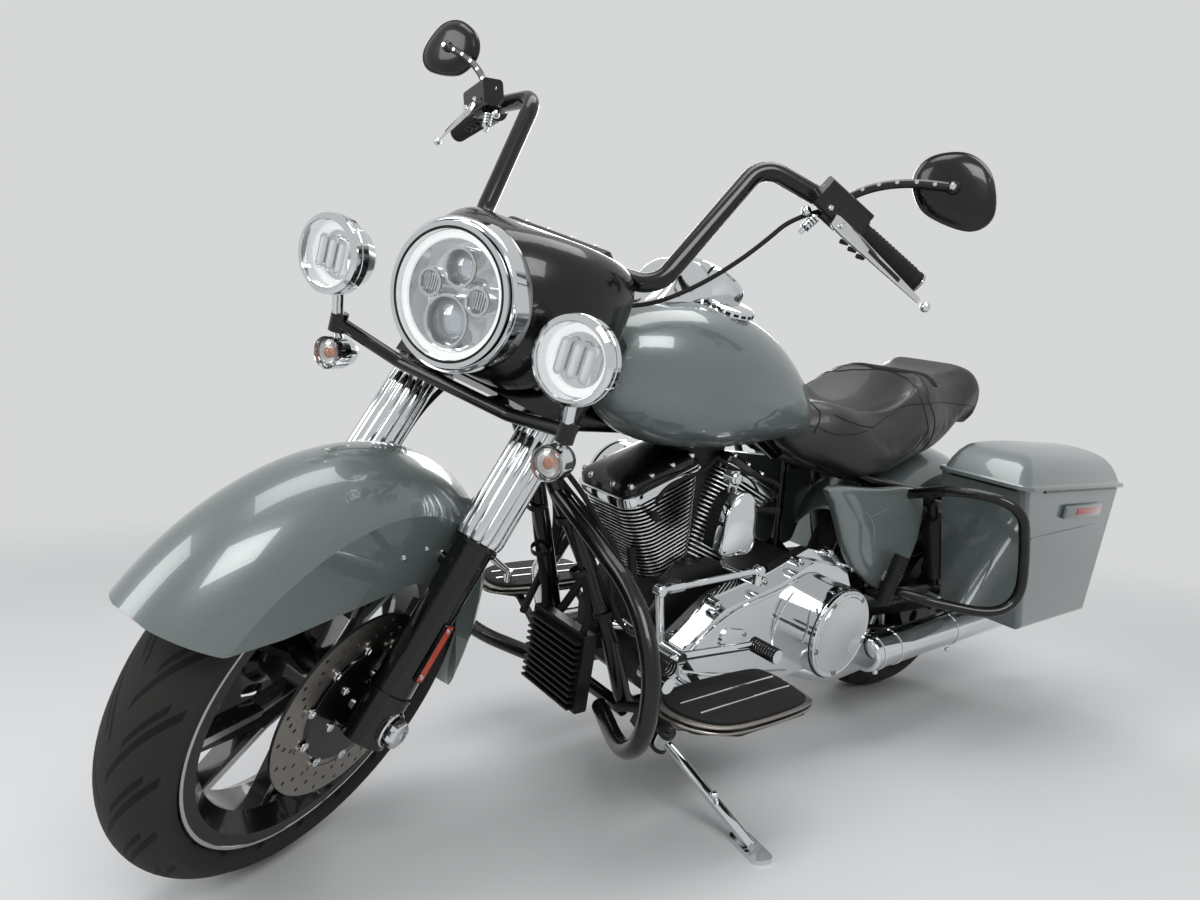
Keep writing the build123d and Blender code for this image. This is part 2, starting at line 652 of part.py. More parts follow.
def grip_plane(along, side=1):
    """A plane across the grip that far out from the last bend; first axis points forward."""
    origin = Vector(BAR[3]) + GRIP_AXIS * along
    forward = Vector(1, 0, 0) - GRIP_AXIS * GRIP_AXIS.X
    return Plane(
        origin=(origin.X, side * origin.Y, origin.Z),
        x_dir=(forward.X, side * forward.Y, forward.Z),
        z_dir=(GRIP_AXIS.X, side * GRIP_AXIS.Y, GRIP_AXIS.Z),
    )


GRIP_FROM = 88
GRIP_END = 222
with BuildPart() as grips:
    for side in (1, -1):
        with BuildSketch(grip_plane(GRIP_FROM, side)):
            Circle(GRIP_D / 2)
            Circle(BAR_D / 2 + FIT, mode=Mode.SUBTRACT)
        extrude(amount=GRIP_END - GRIP_FROM)
        with BuildSketch(grip_plane(GRIP_END, side)):
            Circle(GRIP_D / 2 + 1)
        extrude(amount=8)
keep(grips, "grips", "steered")

with BuildPart() as hand_controls:
    for side in (1, -1):
        flip = side
        with BuildSketch(grip_plane(38, side)):
            Circle(25)
            Circle(BAR_D / 2 + FIT, mode=Mode.SUBTRACT)
        extrude(amount=48)
        with BuildSketch(grip_plane(2, side)):
            with Locations((34, 6 * flip)):
                RectangleRounded(40, 38, 8)
            with Locations((10, 0)):
                Rectangle(48, 24)
            Circle(BAR_D / 2 + FIT, mode=Mode.SUBTRACT)
        extrude(amount=34)
        with BuildSketch(grip_plane(-24, side)):
            with Locations((38, -10 * flip)):
                RectangleRounded(44, 50, 8)
        extrude(amount=92)
        add(handlebar.part, mode=Mode.SUBTRACT)
keep(hand_controls, "hand_controls", "steered", 2)

LEVER_ROOT = (1092, 392, 1208)
LEVER_BALL = (963, 558, 1130)
with BuildPart() as levers:
    for side in (1, -1):
        root = Vector(LEVER_ROOT[0], side * LEVER_ROOT[1], LEVER_ROOT[2])
        ball = Vector(LEVER_BALL[0], side * LEVER_BALL[1], LEVER_BALL[2])
        run = ball - root
        with BuildSketch(Plane(origin=root, x_dir=(0, 0, 1), z_dir=run)):
            SlotOverall(24, 10, rotation=90)
        with BuildSketch(Plane(origin=root + run * 0.5, x_dir=(0, 0, 1), z_dir=run)):
            SlotOverall(18, 8, rotation=90)
        loft()
        with BuildSketch(Plane(origin=root + run * 0.5, x_dir=(0, 0, 1), z_dir=run)):
            Circle(6)
        extrude(amount=run.length * 0.5)
        with Locations(ball):
            Sphere(9)
        with BuildSketch(Plane(origin=root - run.normalized() * 20, x_dir=(0, 0, 1), z_dir=run)):
            Circle(11)
        extrude(amount=24)
    add(hand_controls.part, mode=Mode.SUBTRACT)
keep(levers, "levers", "steered")

# mirror head outline seen from the front: y from its centre, z from its centre
MIRROR_EDGE = [(-78, 4), (-50, 44), (10, 56), (58, 46), (74, 6), (56, -36), (4, -50), (-52, -36)]
MIRROR_AT = (1030, 530, 1316)
with BuildPart() as mirrors:
    with BuildSketch(Plane(origin=(MIRROR_AT[0] - 14, MIRROR_AT[1], MIRROR_AT[2]), x_dir=(0, 1, 0), z_dir=(1, 0, 0))):
        with BuildLine():
            FilletPolyline(*MIRROR_EDGE, radius=18, close=True)
        make_face()
    extrude(amount=20, taper=18)
    add(pipe([(1072, 366, 1236), (1062, 392, 1268), (1052, 450, 1300), (1034, 520, 1318)], 13, 30))
    add(hand_controls.part, mode=Mode.SUBTRACT)
    mirror(about=Plane.XZ)
keep(mirrors, "mirrors", "steered")

# clutch cable from the left perch into the back of the nacelle, held all the way
CABLE = [
    (1074, 350, 1222), (1090, 312, 1196), (1112, 290, 1148), (1142, 262, 1096), (1182, 224, 1040),
    (1226, 178, 992), (1268, 130, 970), (1312, 92, 972),
]
CABLE_D = 8


def cord_radii(points):
    """The largest tangent arc at each corner that leaves a tenth of the shorter run straight."""
    runs = [Vector(*b) - Vector(*a) for a, b in zip(points, points[1:])]
    return [
        0.45 * min(a.length, b.length) / tan(radians(a.get_angle(b)) / 2) for a, b in zip(runs, runs[1:])
    ]


with BuildPart() as clutch_cable:
    with BuildLine() as cable_way:
        FilletPolyline(*CABLE, radius=cord_radii(CABLE))
    with BuildSketch(Plane(origin=cable_way.line @ 0, z_dir=cable_way.line % 0)):
        Circle(CABLE_D / 2)
    sweep()
    for part in (hand_controls, handlebar, nacelle, bar_risers, triple_clamp, fork_tubes):
        add(part.part, mode=Mode.SUBTRACT)
keep(clutch_cable, "clutch_cable", "steered", 1)
print("cable arc radii", [round(radius) for radius in cord_radii(CABLE)])

# ---- frame ------------------------------------------------------------------------------
PIVOT = (372, 340)               # swingarm pivot, x and z
DRIVE = (452, 340)               # gearbox pulley, x and z
PLATE_Y = 88
PLATE_T = 9
REAR_SKIRT_Y = 126              # outer face of the rear fender's sides
HEAD_TUBE_R = 30
BACKBONE_R = 26
DOWN_R = 17
RAIL_Y = 108
with BuildPart() as frame:
    add(rod(on_axis(830), on_axis(914), HEAD_TUBE_R))
    add(pipe([(1376, 0, 868), (1240, 0, 742), (700, 0, 742), (600, 0, 690)], 2 * BACKBONE_R, 90))
    for side in (1, -1):
        add(pipe([
            (1352, side * 16, 832), (1258, side * 24, 664), (1166, side * 70, 480), (1106, side * 96, 340),
            (1052, side * RAIL_Y, 196), (470, side * RAIL_Y, 190),
        ], 2 * DOWN_R, 50))
        add(rod((470, side * 74, 190), (440, side * 84, 300), 12))
        add(pipe([
            (640, 0, 716), (560, side * 90, 690), (380, side * 128, 640), (60, side * 150, 600),
            (-220, side * 150, 592),
        ], 30, 60))
        add(rod((400, side * 118, 640), (412, side * 86, 410), 11))
        for x in (60, -180):
            add(drum(x, 598, 10, min(side * REAR_SKIRT_Y, side * 146), max(side * REAR_SKIRT_Y, side * 146)))
    add(rod((1052, -RAIL_Y, 190), (1052, RAIL_Y, 190), 14))
    add(rod((470, -RAIL_Y, 190), (470, RAIL_Y, 190), 14))
    add(rod((380, -128, 640), (380, 128, 640), 14))
    for y in (PLATE_Y, -PLATE_Y - PLATE_T):
        add(slab([(338, 290), (470, 276), (480, 400), (410, 440), (338, 390)], y, y + PLATE_T, 10))
    add(rod(on_axis(760), on_axis(960), STEM_R + FIT), mode=Mode.SUBTRACT)
    add(drum(PIVOT[0], PIVOT[1], 12 + FIT, -200, 200), mode=Mode.SUBTRACT)

with BuildPart() as swingarm:
    for side in (1, -1):
        y0 = min(side * ARM_IN_Y, side * (ARM_IN_Y + ARM_T))
        add(slab([(-52, 306), (-52, 344), (60, 366), (350, 374), (404, 364), (404, 316), (350, 308), (0, 292)],
                 y0, y0 + ARM_T, 12))
        y1 = min(side * (PLATE_Y + PLATE_T), side * ARM_IN_Y)
        add(drum(PIVOT[0], PIVOT[1], 26, y1, y1 + ARM_IN_Y - PLATE_Y - PLATE_T))
    add(drum(PIVOT[0], PIVOT[1], 12, -170, 170))
    add(drum(REAR_HUB.X, REAR_HUB.Z, AXLE_R + FIT, -300, 300), mode=Mode.SUBTRACT)
keep(swingarm, "swingarm")

with BuildPart() as rear_axle:
    add(drum(REAR_HUB.X, REAR_HUB.Z, AXLE_R, -ARM_IN_Y - ARM_T - 6, ARM_IN_Y + ARM_T + 6))
    add(drum(REAR_HUB.X, REAR_HUB.Z, 20, ARM_IN_Y + ARM_T, ARM_IN_Y + ARM_T + 14))
    add(drum(REAR_HUB.X, REAR_HUB.Z, 20, -ARM_IN_Y - ARM_T - 14, -ARM_IN_Y - ARM_T))
keep(rear_axle, "rear_axle")

with BuildPart() as rear_shocks:
    for side in (1, -1):
        y = side * (ARM_IN_Y + ARM_T + 16)
        add(rod((70, y, 400), (150, y, 560), 26))
        add(rod((56, y, 372), (76, y, 412), 11))
        add(rod((140, y, 540), (168, y, 596), 13))
        add(drum(58, 374, 13, min(side * ARM_IN_Y, y), max(side * ARM_IN_Y, y)))
        add(drum(168, 596, 13, min(side * 138, y), max(side * 138, y)))
    add(swingarm.part, mode=Mode.SUBTRACT)
    add(frame.part, mode=Mode.SUBTRACT)
keep(rear_shocks, "rear_shocks", solids=2)

with BuildPart() as rear_caliper:
    add(slab([(-150, 250), (-60, 230), (-50, 262), (-92, 330), (-160, 330)], REAR_DISC_Y - 28, REAR_DISC_Y + 24, 8))
    add(drum(REAR_HUB.X, REAR_HUB.Z, DISC_R + RUN, REAR_DISC_Y - 11, REAR_DISC_Y + 6), mode=Mode.SUBTRACT)
    add(slab([(-66, 300), (-66, 340), (-100, 336), (-100, 290)], -ARM_IN_Y, REAR_DISC_Y - 27, 6))
    add(slab([(-100, 300), (-100, 334), (-30, 344), (-30, 312)], -ARM_IN_Y, -ARM_IN_Y + 9, 6))
    add(drum(REAR_HUB.X, REAR_HUB.Z, 40, -ARM_IN_Y, -ARM_IN_Y + 9), mode=Mode.SUBTRACT)
keep(rear_caliper, "rear_caliper")


# ---- engine ---------------------------------------------------------------------------------
CASE = [(1030, 240), (1000, 214), (800, 208), (760, 236), (748, 330), (792, 430), (836, 470), (934, 470),
        (990, 430), (1040, 340)]
GEARBOX = [(756, 226), (440, 226), (404, 262), (404, 400), (500, 440), (756, 424)]
CASE_Y = 92
with BuildPart() as engine_cases:
    add(slab(CASE, -CASE_Y, CASE_Y, 14))
    add(slab(GEARBOX, -88, 88, 14))
    add(drum(CRANK[0], CRANK[1], 96, -CASE_Y - 34, -CASE_Y))
    add(drum(CRANK[0] + 8, CRANK[1] + 92, 44, -CASE_Y - 26, -CASE_Y))
    add(drum(DRIVE[0], DRIVE[1], DRIVE_R, 88, BELT_Y0 + BELT_W))
    add(frame.part, mode=Mode.SUBTRACT)
    add(swingarm.part, mode=Mode.SUBTRACT)
keep(engine_cases, "engine_cases")

DECK = 132                      # cylinder base from the crankshaft
HEAD_TOP = 318
ROCKER_TOP = 366
FIN_PITCH = 9.2
FIN_T = 3.2
FIN_ROWS = int((HEAD_TOP - DECK) / FIN_PITCH)
BASE_FIN_X = 62                 # half width of the lowest fin, and of the highest
HEAD_FIN_X = 98
BASE_FIN_Y = 64
HEAD_FIN_Y = 82
CORE_R = 56
CYLINDERS = (V_HALF, -V_HALF)


def cylinder_plane(tilt, along):
    """A plane across a cylinder at that distance from the crankshaft."""
    run = Vector(sin(radians(tilt)), 0, cos(radians(tilt)))
    centre = Vector(CRANK[0], 0, CRANK[1]) + run * along
    return Plane(origin=centre, x_dir=(cos(radians(tilt)), 0, -sin(radians(tilt))), z_dir=run)


with BuildPart() as cylinders:
    for tilt in CYLINDERS:
        with BuildSketch(cylinder_plane(tilt, DECK - 8)):
            RectangleRounded(2 * CORE_R, 2 * CORE_R, 20)
        extrude(amount=HEAD_TOP - DECK + 8)
        for row in range(FIN_ROWS):
            share = row / (FIN_ROWS - 1)
            half_x = BASE_FIN_X + (HEAD_FIN_X - BASE_FIN_X) * share
            half_y = BASE_FIN_Y + (HEAD_FIN_Y - BASE_FIN_Y) * share
            with BuildSketch(cylinder_plane(tilt, DECK + 4 + row * FIN_PITCH)):
                RectangleRounded(2 * half_x, 2 * half_y, 42)
            extrude(amount=FIN_T)
    add(slab([(CRANK[0] - 22, 480), (CRANK[0] - 70, 720), (CRANK[0] + 70, 720), (CRANK[0] + 22, 480)], -40, 40, 4))
    add(slab([(640, 704), (1140, 704), (1140, 800), (640, 800)], -60, 60), mode=Mode.SUBTRACT)
    add(engine_cases.part, mode=Mode.SUBTRACT)
keep(cylinders, "cylinders")

ROCKER_HALF_X = 104
ROCKER_HALF_Y = 84
with BuildPart() as rocker_covers:
    for tilt in CYLINDERS:
        for low, high, inset in ((0, 20, 0), (20, 36, 8), (36, ROCKER_TOP - HEAD_TOP, 30)):
            with BuildSketch(cylinder_plane(tilt, HEAD_TOP + low)):
                RectangleRounded(2 * (ROCKER_HALF_X - inset), 2 * (ROCKER_HALF_Y - inset), 16)
            extrude(amount=high - low)
    split_plane = slab([(CRANK[0] - 2, 400), (CRANK[0] - 2, 800), (CRANK[0] + 2, 800), (CRANK[0] + 2, 400)], -100, 100)
    add(split_plane, mode=Mode.SUBTRACT)
    add(cylinders.part, mode=Mode.SUBTRACT)
keep(rocker_covers, "rocker_covers")

# two tubes to each cylinder on the right: x foot, x head
PUSHRODS = [(936, 1000), (912, 958), (858, 812), (834, 770)]
with BuildPart() as pushrod_tubes:
    for foot_x, head_x in PUSHRODS:
        add(rod((foot_x, -104, 452), (head_x, -98, 622), 11))
        add(rod((foot_x, -106, 436), (foot_x + 0.1 * (head_x - foot_x), -104, 470), 15))
    add(cylinders.part, mode=Mode.SUBTRACT)
    add(rocker_covers.part, mode=Mode.SUBTRACT)
    add(engine_cases.part, mode=Mode.SUBTRACT)
keep(pushrod_tubes, "pushrod_tubes")

AIR_AT = (CRANK[0], 566)
with BuildPart() as air_cleaner:
    add(drum(AIR_AT[0], AIR_AT[1], 40, -150, -40))
    add(drum(AIR_AT[0], AIR_AT[1], 92, -196, -150))
    add(drum(AIR_AT[0], AIR_AT[1], 70, -208, -196))
    add(cylinders.part, mode=Mode.SUBTRACT)
    add(rocker_covers.part, mode=Mode.SUBTRACT)
    add(pushrod_tubes.part, mode=Mode.SUBTRACT)
keep(air_cleaner, "air_cleaner")

HORN = [(938, 628), (948, 560), (944, 524), (860, 524), (856, 560), (866, 628), (902, 646)]
with BuildPart() as horn_cover:
    add(slab(HORN, 158, 196, 12))
    add(slab([(880, 560), (924, 560), (924, 600), (880, 600)], 40, 158, 6))
    add(cylinders.part, mode=Mode.SUBTRACT)
    add(rocker_covers.part, mode=Mode.SUBTRACT)
keep(horn_cover, "horn_cover")

# primary cover outline: x, z
PRIMARY = [
    (1010, 262), (1016, 336), (900, 422), (736, 458), (614, 500), (468, 470), (404, 372), (444, 216),
    (600, 196), (770, 210), (930, 222),
]
PRIMARY_FACE = [
    (986, 276), (990, 330), (884, 402), (724, 436), (612, 476), (484, 450), (428, 368), (462, 236),
    (604, 216), (764, 230), (920, 244),
]
PRIMARY_IN_Y = 126
with BuildPart() as primary_cover:
    add(slab(PRIMARY, PRIMARY_IN_Y, PRIMARY_Y - 22, 26))
    add(slab(PRIMARY_FACE, PRIMARY_Y - 22, PRIMARY_Y, 26))
    add(drum(CLUTCH[0], CLUTCH[1], DERBY_R + 5, PRIMARY_Y - 30, DERBY_Y))
    add(slab([(700, 250), (980, 250), (980, 320), (720, 400)], CASE_Y, PRIMARY_IN_Y, 8))
    add(frame.part, mode=Mode.SUBTRACT)
    add(swingarm.part, mode=Mode.SUBTRACT)

with BuildPart() as primary:
    add(primary_cover.part)
    add(drum(CLUTCH[0], CLUTCH[1], DERBY_R, DERBY_Y, DERBY_Y + 8))
    add(drum(CLUTCH[0], CLUTCH[1], DERBY_R - 14, DERBY_Y + 8, DERBY_Y + 11))
keep(primary, "primary_cover")

with BuildPart() as drive_belt:
    span = hypot(DRIVE[0] - REAR_HUB.X, DRIVE[1] - REAR_HUB.Z)
    sweep_angle = degrees(asin((PULLEY_R - DRIVE_R) / span))
    with BuildSketch(side_plane(BELT_Y0 + BELT_W)):
        for radius_extra, mode in ((BELT_T + FIT, Mode.ADD), (FIT, Mode.SUBTRACT)):
            big = PULLEY_R + radius_extra
            small = DRIVE_R + radius_extra
            up = radians(90 - sweep_angle)
            with BuildLine():
                Polyline(
                    (big * cos(up), REAR_HUB.Z + big * sin(up)),
                    (DRIVE[0] + small * cos(up), DRIVE[1] + small * sin(up)),
                )
                ThreePointArc(
                    (DRIVE[0] + small * cos(up), DRIVE[1] + small * sin(up)),
                    (DRIVE[0] + small, DRIVE[1]),
                    (DRIVE[0] + small * cos(up), DRIVE[1] - small * sin(up)),
                )
                Line(
                    (DRIVE[0] + small * cos(up), DRIVE[1] - small * sin(up)),
                    (big * cos(up), REAR_HUB.Z - big * sin(up)),
                )
                ThreePointArc(
                    (big * cos(up), REAR_HUB.Z - big * sin(up)),
                    (-big, REAR_HUB.Z),
                    (big * cos(up), REAR_HUB.Z + big * sin(up)),
                )
            make_face(mode=mode)
    extrude(amount=BELT_W)
keep(drive_belt, "drive_belt")

# ---- tank, seat and body panels -----------------------------------------------------------
# front to back: x, half width, low z, high z, corner
TANK = [
    (1196, 80, 782, 906, 56), (1140, 132, 734, 950, 88), (1040, 170, 708, 975, 112),
    (910, 178, 706, 974, 116), (790, 164, 720, 930, 92), (676, 134, 748, 824, 34),
]
TUNNEL_HALF = 36
with BuildPart() as fuel_tank:
    add(hull(TANK))
    add(slab([(640, 690), (640, 776), (1250, 776), (1250, 690)], -TUNNEL_HALF, TUNNEL_HALF), mode=Mode.SUBTRACT)
keep(fuel_tank, "fuel_tank")

# front to back: x, half width, low z, high z, corner
CONSOLE = [(1130, 34, 900, 972, 30), (1040, 58, 900, 1006, 46), (900, 56, 900, 1000, 44), (770, 34, 880, 934, 20)]
with BuildPart() as console:
    add(hull(CONSOLE))
    add(rod((1040, 0, 990), (1056, 0, 1018), 44))
    add(rod((892, 76, 950), (892, 78, 986), 30))
    add(hull(TANK), mode=Mode.SUBTRACT)
keep(console, "console")

# front to back: x, half width, low z, high z, corner
SEAT = [
    (700, 78, 752, 806, 26), (612, 128, 694, 802, 44), (490, 176, 656, 800, 56), (405, 182, 652, 808, 60),
    (330, 178, 664, 846, 62), (240, 166, 686, 892, 60), (90, 150, 744, 908, 56), (-62, 130, 788, 892, 48),
]
BUCKET_R = 236                  # dish under the rider
BUCKET_AT = (420, 0, 1004)
with BuildPart() as seat:
    add(hull(SEAT))
    with Locations(BUCKET_AT):
        Sphere(BUCKET_R, mode=Mode.SUBTRACT)
    add(hull(TANK), mode=Mode.SUBTRACT)
    add(frame.part, mode=Mode.SUBTRACT)
keep(seat, "seat")

SIDE_COVER = [(622, 648), (232, 628), (196, 520), (236, 384), (342, 384), (470, 452), (560, 560)]
with BuildPart() as side_covers:
    for side in (1, -1):
        y0 = min(side * 166, side * 184)
        add(slab(SIDE_COVER, y0, y0 + 18, 20))
        y1 = min(side * 134, side * 166)
        add(drum(330, 600, 14, y1, y1 + 32))
        add(drum(480, 600, 14, y1 - (40 if side > 0 else 0), y1 + 32 + (40 if side < 0 else 0)))
    add(frame.part, mode=Mode.SUBTRACT)
    add(hull(SEAT), mode=Mode.SUBTRACT)
    add(primary_cover.part, mode=Mode.SUBTRACT)
    add(rear_shocks.part, mode=Mode.SUBTRACT)
keep(side_covers, "side_covers")

REAR_FENDER_R = 388
REAR_SIDE = [(330, 470), (300, 760), (-500, 760), (-500, 330), (-386, 330), (-330, 480), (-200, 560), (200, 560)]
with BuildPart() as rear_fender:
    with BuildSketch(Plane(origin=REAR_HUB, x_dir=(0, 1, 0), z_dir=(1, 0, 0))):
        with BuildLine():
            ThreePointArc((-REAR_SKIRT_Y, 336), (0, REAR_FENDER_R), (REAR_SKIRT_Y, 336))
            Line((REAR_SKIRT_Y, 336), (REAR_SKIRT_Y, 180))
            Line((REAR_SKIRT_Y, 180), (REAR_SKIRT_Y - 4, 180))
            Line((REAR_SKIRT_Y - 4, 180), (REAR_SKIRT_Y - 4, 336))
            ThreePointArc((REAR_SKIRT_Y - 4, 336), (0, REAR_FENDER_R - 4), (4 - REAR_SKIRT_Y, 336))
            Line((4 - REAR_SKIRT_Y, 336), (4 - REAR_SKIRT_Y, 180))
            Line((4 - REAR_SKIRT_Y, 180), (-REAR_SKIRT_Y, 180))
            Line((-REAR_SKIRT_Y, 180), (-REAR_SKIRT_Y, 336))
        make_face()
    revolve(axis=Axis(REAR_HUB, (0, 1, 0)))
    add(slab(REAR_SIDE, -170, 170), mode=Mode.INTERSECT)
    add(frame.part, mode=Mode.SUBTRACT)
    add(seat.part, mode=Mode.SUBTRACT)
keep(rear_fender, "rear_fender")

with BuildPart() as tail_lamp:
    add(bullet((-392, 0, 560), [(-52, 34), (-44, 46), (-6, 54), (30, 54)]))
    for side in (1, -1):
        add(rod((-388, side * 60, 560), (-388, side * 150, 560), 8))
        add(bullet((-392, side * 160, 560), [(-30, 20), (-24, SIGNAL_R), (20, SIGNAL_R), (34, 14)]))
    add(rod((-388, 40, 560), (-388, 80, 560), 8))
    add(rod((-388, -40, 560), (-388, -80, 560), 8))
    add(rear_fender.part, mode=Mode.SUBTRACT)
    add(drum(REAR_HUB.X, REAR_HUB.Z, REAR_FENDER_R - 10, -50, 50), mode=Mode.SUBTRACT)

PLATE_HOLE_R = 3.5
PLATE_X = -438
with BuildPart() as plate_bracket:
    with BuildSketch(Plane(origin=(PLATE_X, 0, 420), x_dir=(0, 1, 0), z_dir=(1, 0, 0))):
        RectangleRounded(178, 102, 8)
        with Locations((70, 36), (-70, 36)):
            Circle(PLATE_HOLE_R, mode=Mode.SUBTRACT)
    extrude(amount=3)
    add(slab([(PLATE_X + 3, 400), (PLATE_X + 3, 440), (-360, 440), (-360, 400)], -40, 40, 4))
    add(drum(REAR_HUB.X, REAR_HUB.Z, REAR_FENDER_R, -60, 60), mode=Mode.SUBTRACT)
with BuildPart() as tail_unit:
    add(tail_lamp.part)
    add(plate_bracket.part)
    add(slab([(PLATE_X + 3, 430), (PLATE_X + 3, 520), (-392, 520), (-392, 430)], -24, 24, 4))
    add(drum(REAR_HUB.X, REAR_HUB.Z, REAR_FENDER_R, -60, 60), mode=Mode.SUBTRACT)
keep(tail_unit, "tail_lamp", solids=1)

# ---- saddlebags ---------------------------------------------------------------------------
# side outline: x, z
BAG = [(214, BAG_RIM_Z), (60, BAG_BOTTOM_Z), (-352, BAG_BOTTOM_Z), (BAG_REAR_X, BAG_RIM_Z)]
BAG_HOLLOW = [
    (214 - 7, BAG_RIM_Z + 40), (207, BAG_RIM_Z), (60 - 3, BAG_BOTTOM_Z + BAG_WALL),
    (-352 + BAG_WALL, BAG_BOTTOM_Z + BAG_WALL), (BAG_REAR_X + BAG_WALL, BAG_RIM_Z), (BAG_REAR_X + BAG_WALL, BAG_RIM_Z + 40),
]
LID = [(232, BAG_RIM_Z + LID_GAP), (216, 748), (60, BAG_RIM_Z + LID_H), (-300, BAG_RIM_Z + LID_H - 8), (-372, 742), (-384, BAG_RIM_Z + LID_GAP)]
LID_HOLLOW = [(224, BAG_RIM_Z), (208, 742), (58, BAG_RIM_Z + LID_H - BAG_WALL), (-298, BAG_RIM_Z + LID_H - 8 - BAG_WALL),
              (-366, 736), (-378, BAG_RIM_Z)]


def bag_mirror(piece, side):
    """The left-hand piece, or its mirror image for the right."""
    return piece if side > 0 else piece.mirror(Plane.XZ)


bag_block = slab(BAG, BAG_IN_Y, BAG_OUT_Y - 8, 0)
bag_room = slab(BAG_HOLLOW, BAG_IN_Y + BAG_WALL, BAG_OUT_Y - 8 - BAG_WALL, 0)
with BuildPart() as left_shell:
    add(bag_block)
    fillet(left_shell.edges().filter_by(lambda e: abs((e @ 0).Y - (e @ 1).Y) < 1 and (e @ 0).Y > BAG_OUT_Y - 20
                                        and max((e @ 0).Z, (e @ 1).Z) < BAG_RIM_Z + 1
                                        and abs((e @ 0).Z + (e @ 1).Z - 2 * BAG_RIM_Z) > 1), 14)
    add(bag_room, mode=Mode.SUBTRACT)

with BuildPart() as left_cap:
    add(slab(LID, BAG_IN_Y - 4, BAG_OUT_Y, 0))
    chamfer(left_cap.edges().filter_by(lambda e: abs((e @ 0).Y - (e @ 1).Y) < 1
                                       and min((e @ 0).Z, (e @ 1).Z) > BAG_RIM_Z + 30), 22)
    add(slab(LID_HOLLOW, BAG_IN_Y - 4 + BAG_WALL, BAG_OUT_Y - BAG_WALL, 0), mode=Mode.SUBTRACT)
    add(rod((-300, LID_PIN_Y, BAG_RIM_Z + LID_GAP), (150, LID_PIN_Y, BAG_RIM_Z + LID_GAP), LID_PIN_R))

with BuildPart() as saddlebags:
    for side in (1, -1):
        add(bag_mirror(left_shell.part, side))
        y0 = min(side * 150, side * BAG_IN_Y)
        add(drum(20, 560, 9, y0, y0 + BAG_IN_Y - 150))
        add(drum(-180, 592, 9, y0, y0 + BAG_IN_Y - 150))
    add(frame.part, mode=Mode.SUBTRACT)
    add(rear_shocks.part, mode=Mode.SUBTRACT)
keep(saddlebags, "saddlebags", solids=2)

with BuildPart() as left_lid:
    add(left_cap.part)
keep(left_lid, "left_lid")

with BuildPart() as right_lid:
    add(bag_mirror(left_cap.part, -1))
keep(right_lid, "right_lid")

GUARD_D = 22
BAG_GUARD = [
    (300, 150, 612), (300, 300, 668), (262, 424, 664), (196, 424, 560), (150, 424, 440), (206, 400, 392),
    (300, 280, 392), (330, 172, 392),
]
with BuildPart() as bag_guards:
    add(pipe(BAG_GUARD, GUARD_D, 34))
    add(pipe(across(BAG_GUARD), GUARD_D, 34))
    for piece in (frame, side_covers, saddlebags, swingarm, rear_shocks):
        add(piece.part, mode=Mode.SUBTRACT)
keep(bag_guards, "bag_guards", solids=2)

# ---- exhaust --------------------------------------------------------------------------------
MUFFLER_R = 41
with BuildPart() as exhaust:
    for side in (1, -1):
        add(rod((430, side * 232, 258), (-430, side * 232, 280), MUFFLER_R))
        add(rod((-430, side * 232, 280), (-446, side * 232, 280.4), MUFFLER_R - 8))
    for side in (1, -1):
        add(rod((-380, side * 232, 279), (-500, side * 232, 282), MUFFLER_R - 12), mode=Mode.SUBTRACT)
    # the link pipe runs under the gearbox and comes out behind the primary cover
    add(pipe([(300, 232, 261), (374, 232, 258), (374, 110, 142), (640, -168, 142), (560, -228, 246),
              (420, -232, 257)], 50, 40))
    add(pipe([(1030, -60, 560), (1090, -90, 520), (1098, -160, 380), (1020, -210, 236), (700, -226, 230),
              (440, -232, 256)], 46, 50))
    add(pipe([(720, -60, 570), (664, -110, 540), (640, -190, 440), (640, -226, 300), (560, -230, 250)], 46, 40))
    for piece in (frame, engine_cases, cylinders, rocker_covers, primary, swingarm, pushrod_tubes, saddlebags):
        add(piece.part, mode=Mode.SUBTRACT)
keep(exhaust, "exhaust", solids=1)

# ---- guards, boards, pegs and controls --------------------------------------------------------
ENGINE_GUARD = [
    (1234, 40, 612), (1228, 150, 560), (1222, 268, 500), (1228, 338, 400), (1228, 338, 290), (1196, 262, 222),
    (1120, 112, 214),
]
ENGINE_GUARD_D = 32
with BuildPart() as engine_guard:
    add(pipe(ENGINE_GUARD, ENGINE_GUARD_D, 46))
    add(pipe(across(ENGINE_GUARD), ENGINE_GUARD_D, 46))
    for piece in (frame, engine_cases):
        add(piece.part, mode=Mode.SUBTRACT)
keep(engine_guard, "engine_guard")

COOLER_X = 1128
with BuildPart() as oil_cooler:
    add(slab([(COOLER_X, 190), (COOLER_X, 346), (COOLER_X + 30, 346), (COOLER_X + 30, 190)], -84, 84, 4))
    for row in range(11):
        z = 198 + row * 13
        add(slab([(COOLER_X + 29, z), (COOLER_X + 29, z + 4), (COOLER_X + 44, z + 4), (COOLER_X + 44, z)], -78, 78))
    add(slab([(1030, 280), (1030, 310), (COOLER_X, 310), (COOLER_X, 280)], -20, 20))
    for piece in (frame, engine_cases, exhaust, engine_guard):
        add(piece.part, mode=Mode.SUBTRACT)
keep(oil_cooler, "oil_cooler")

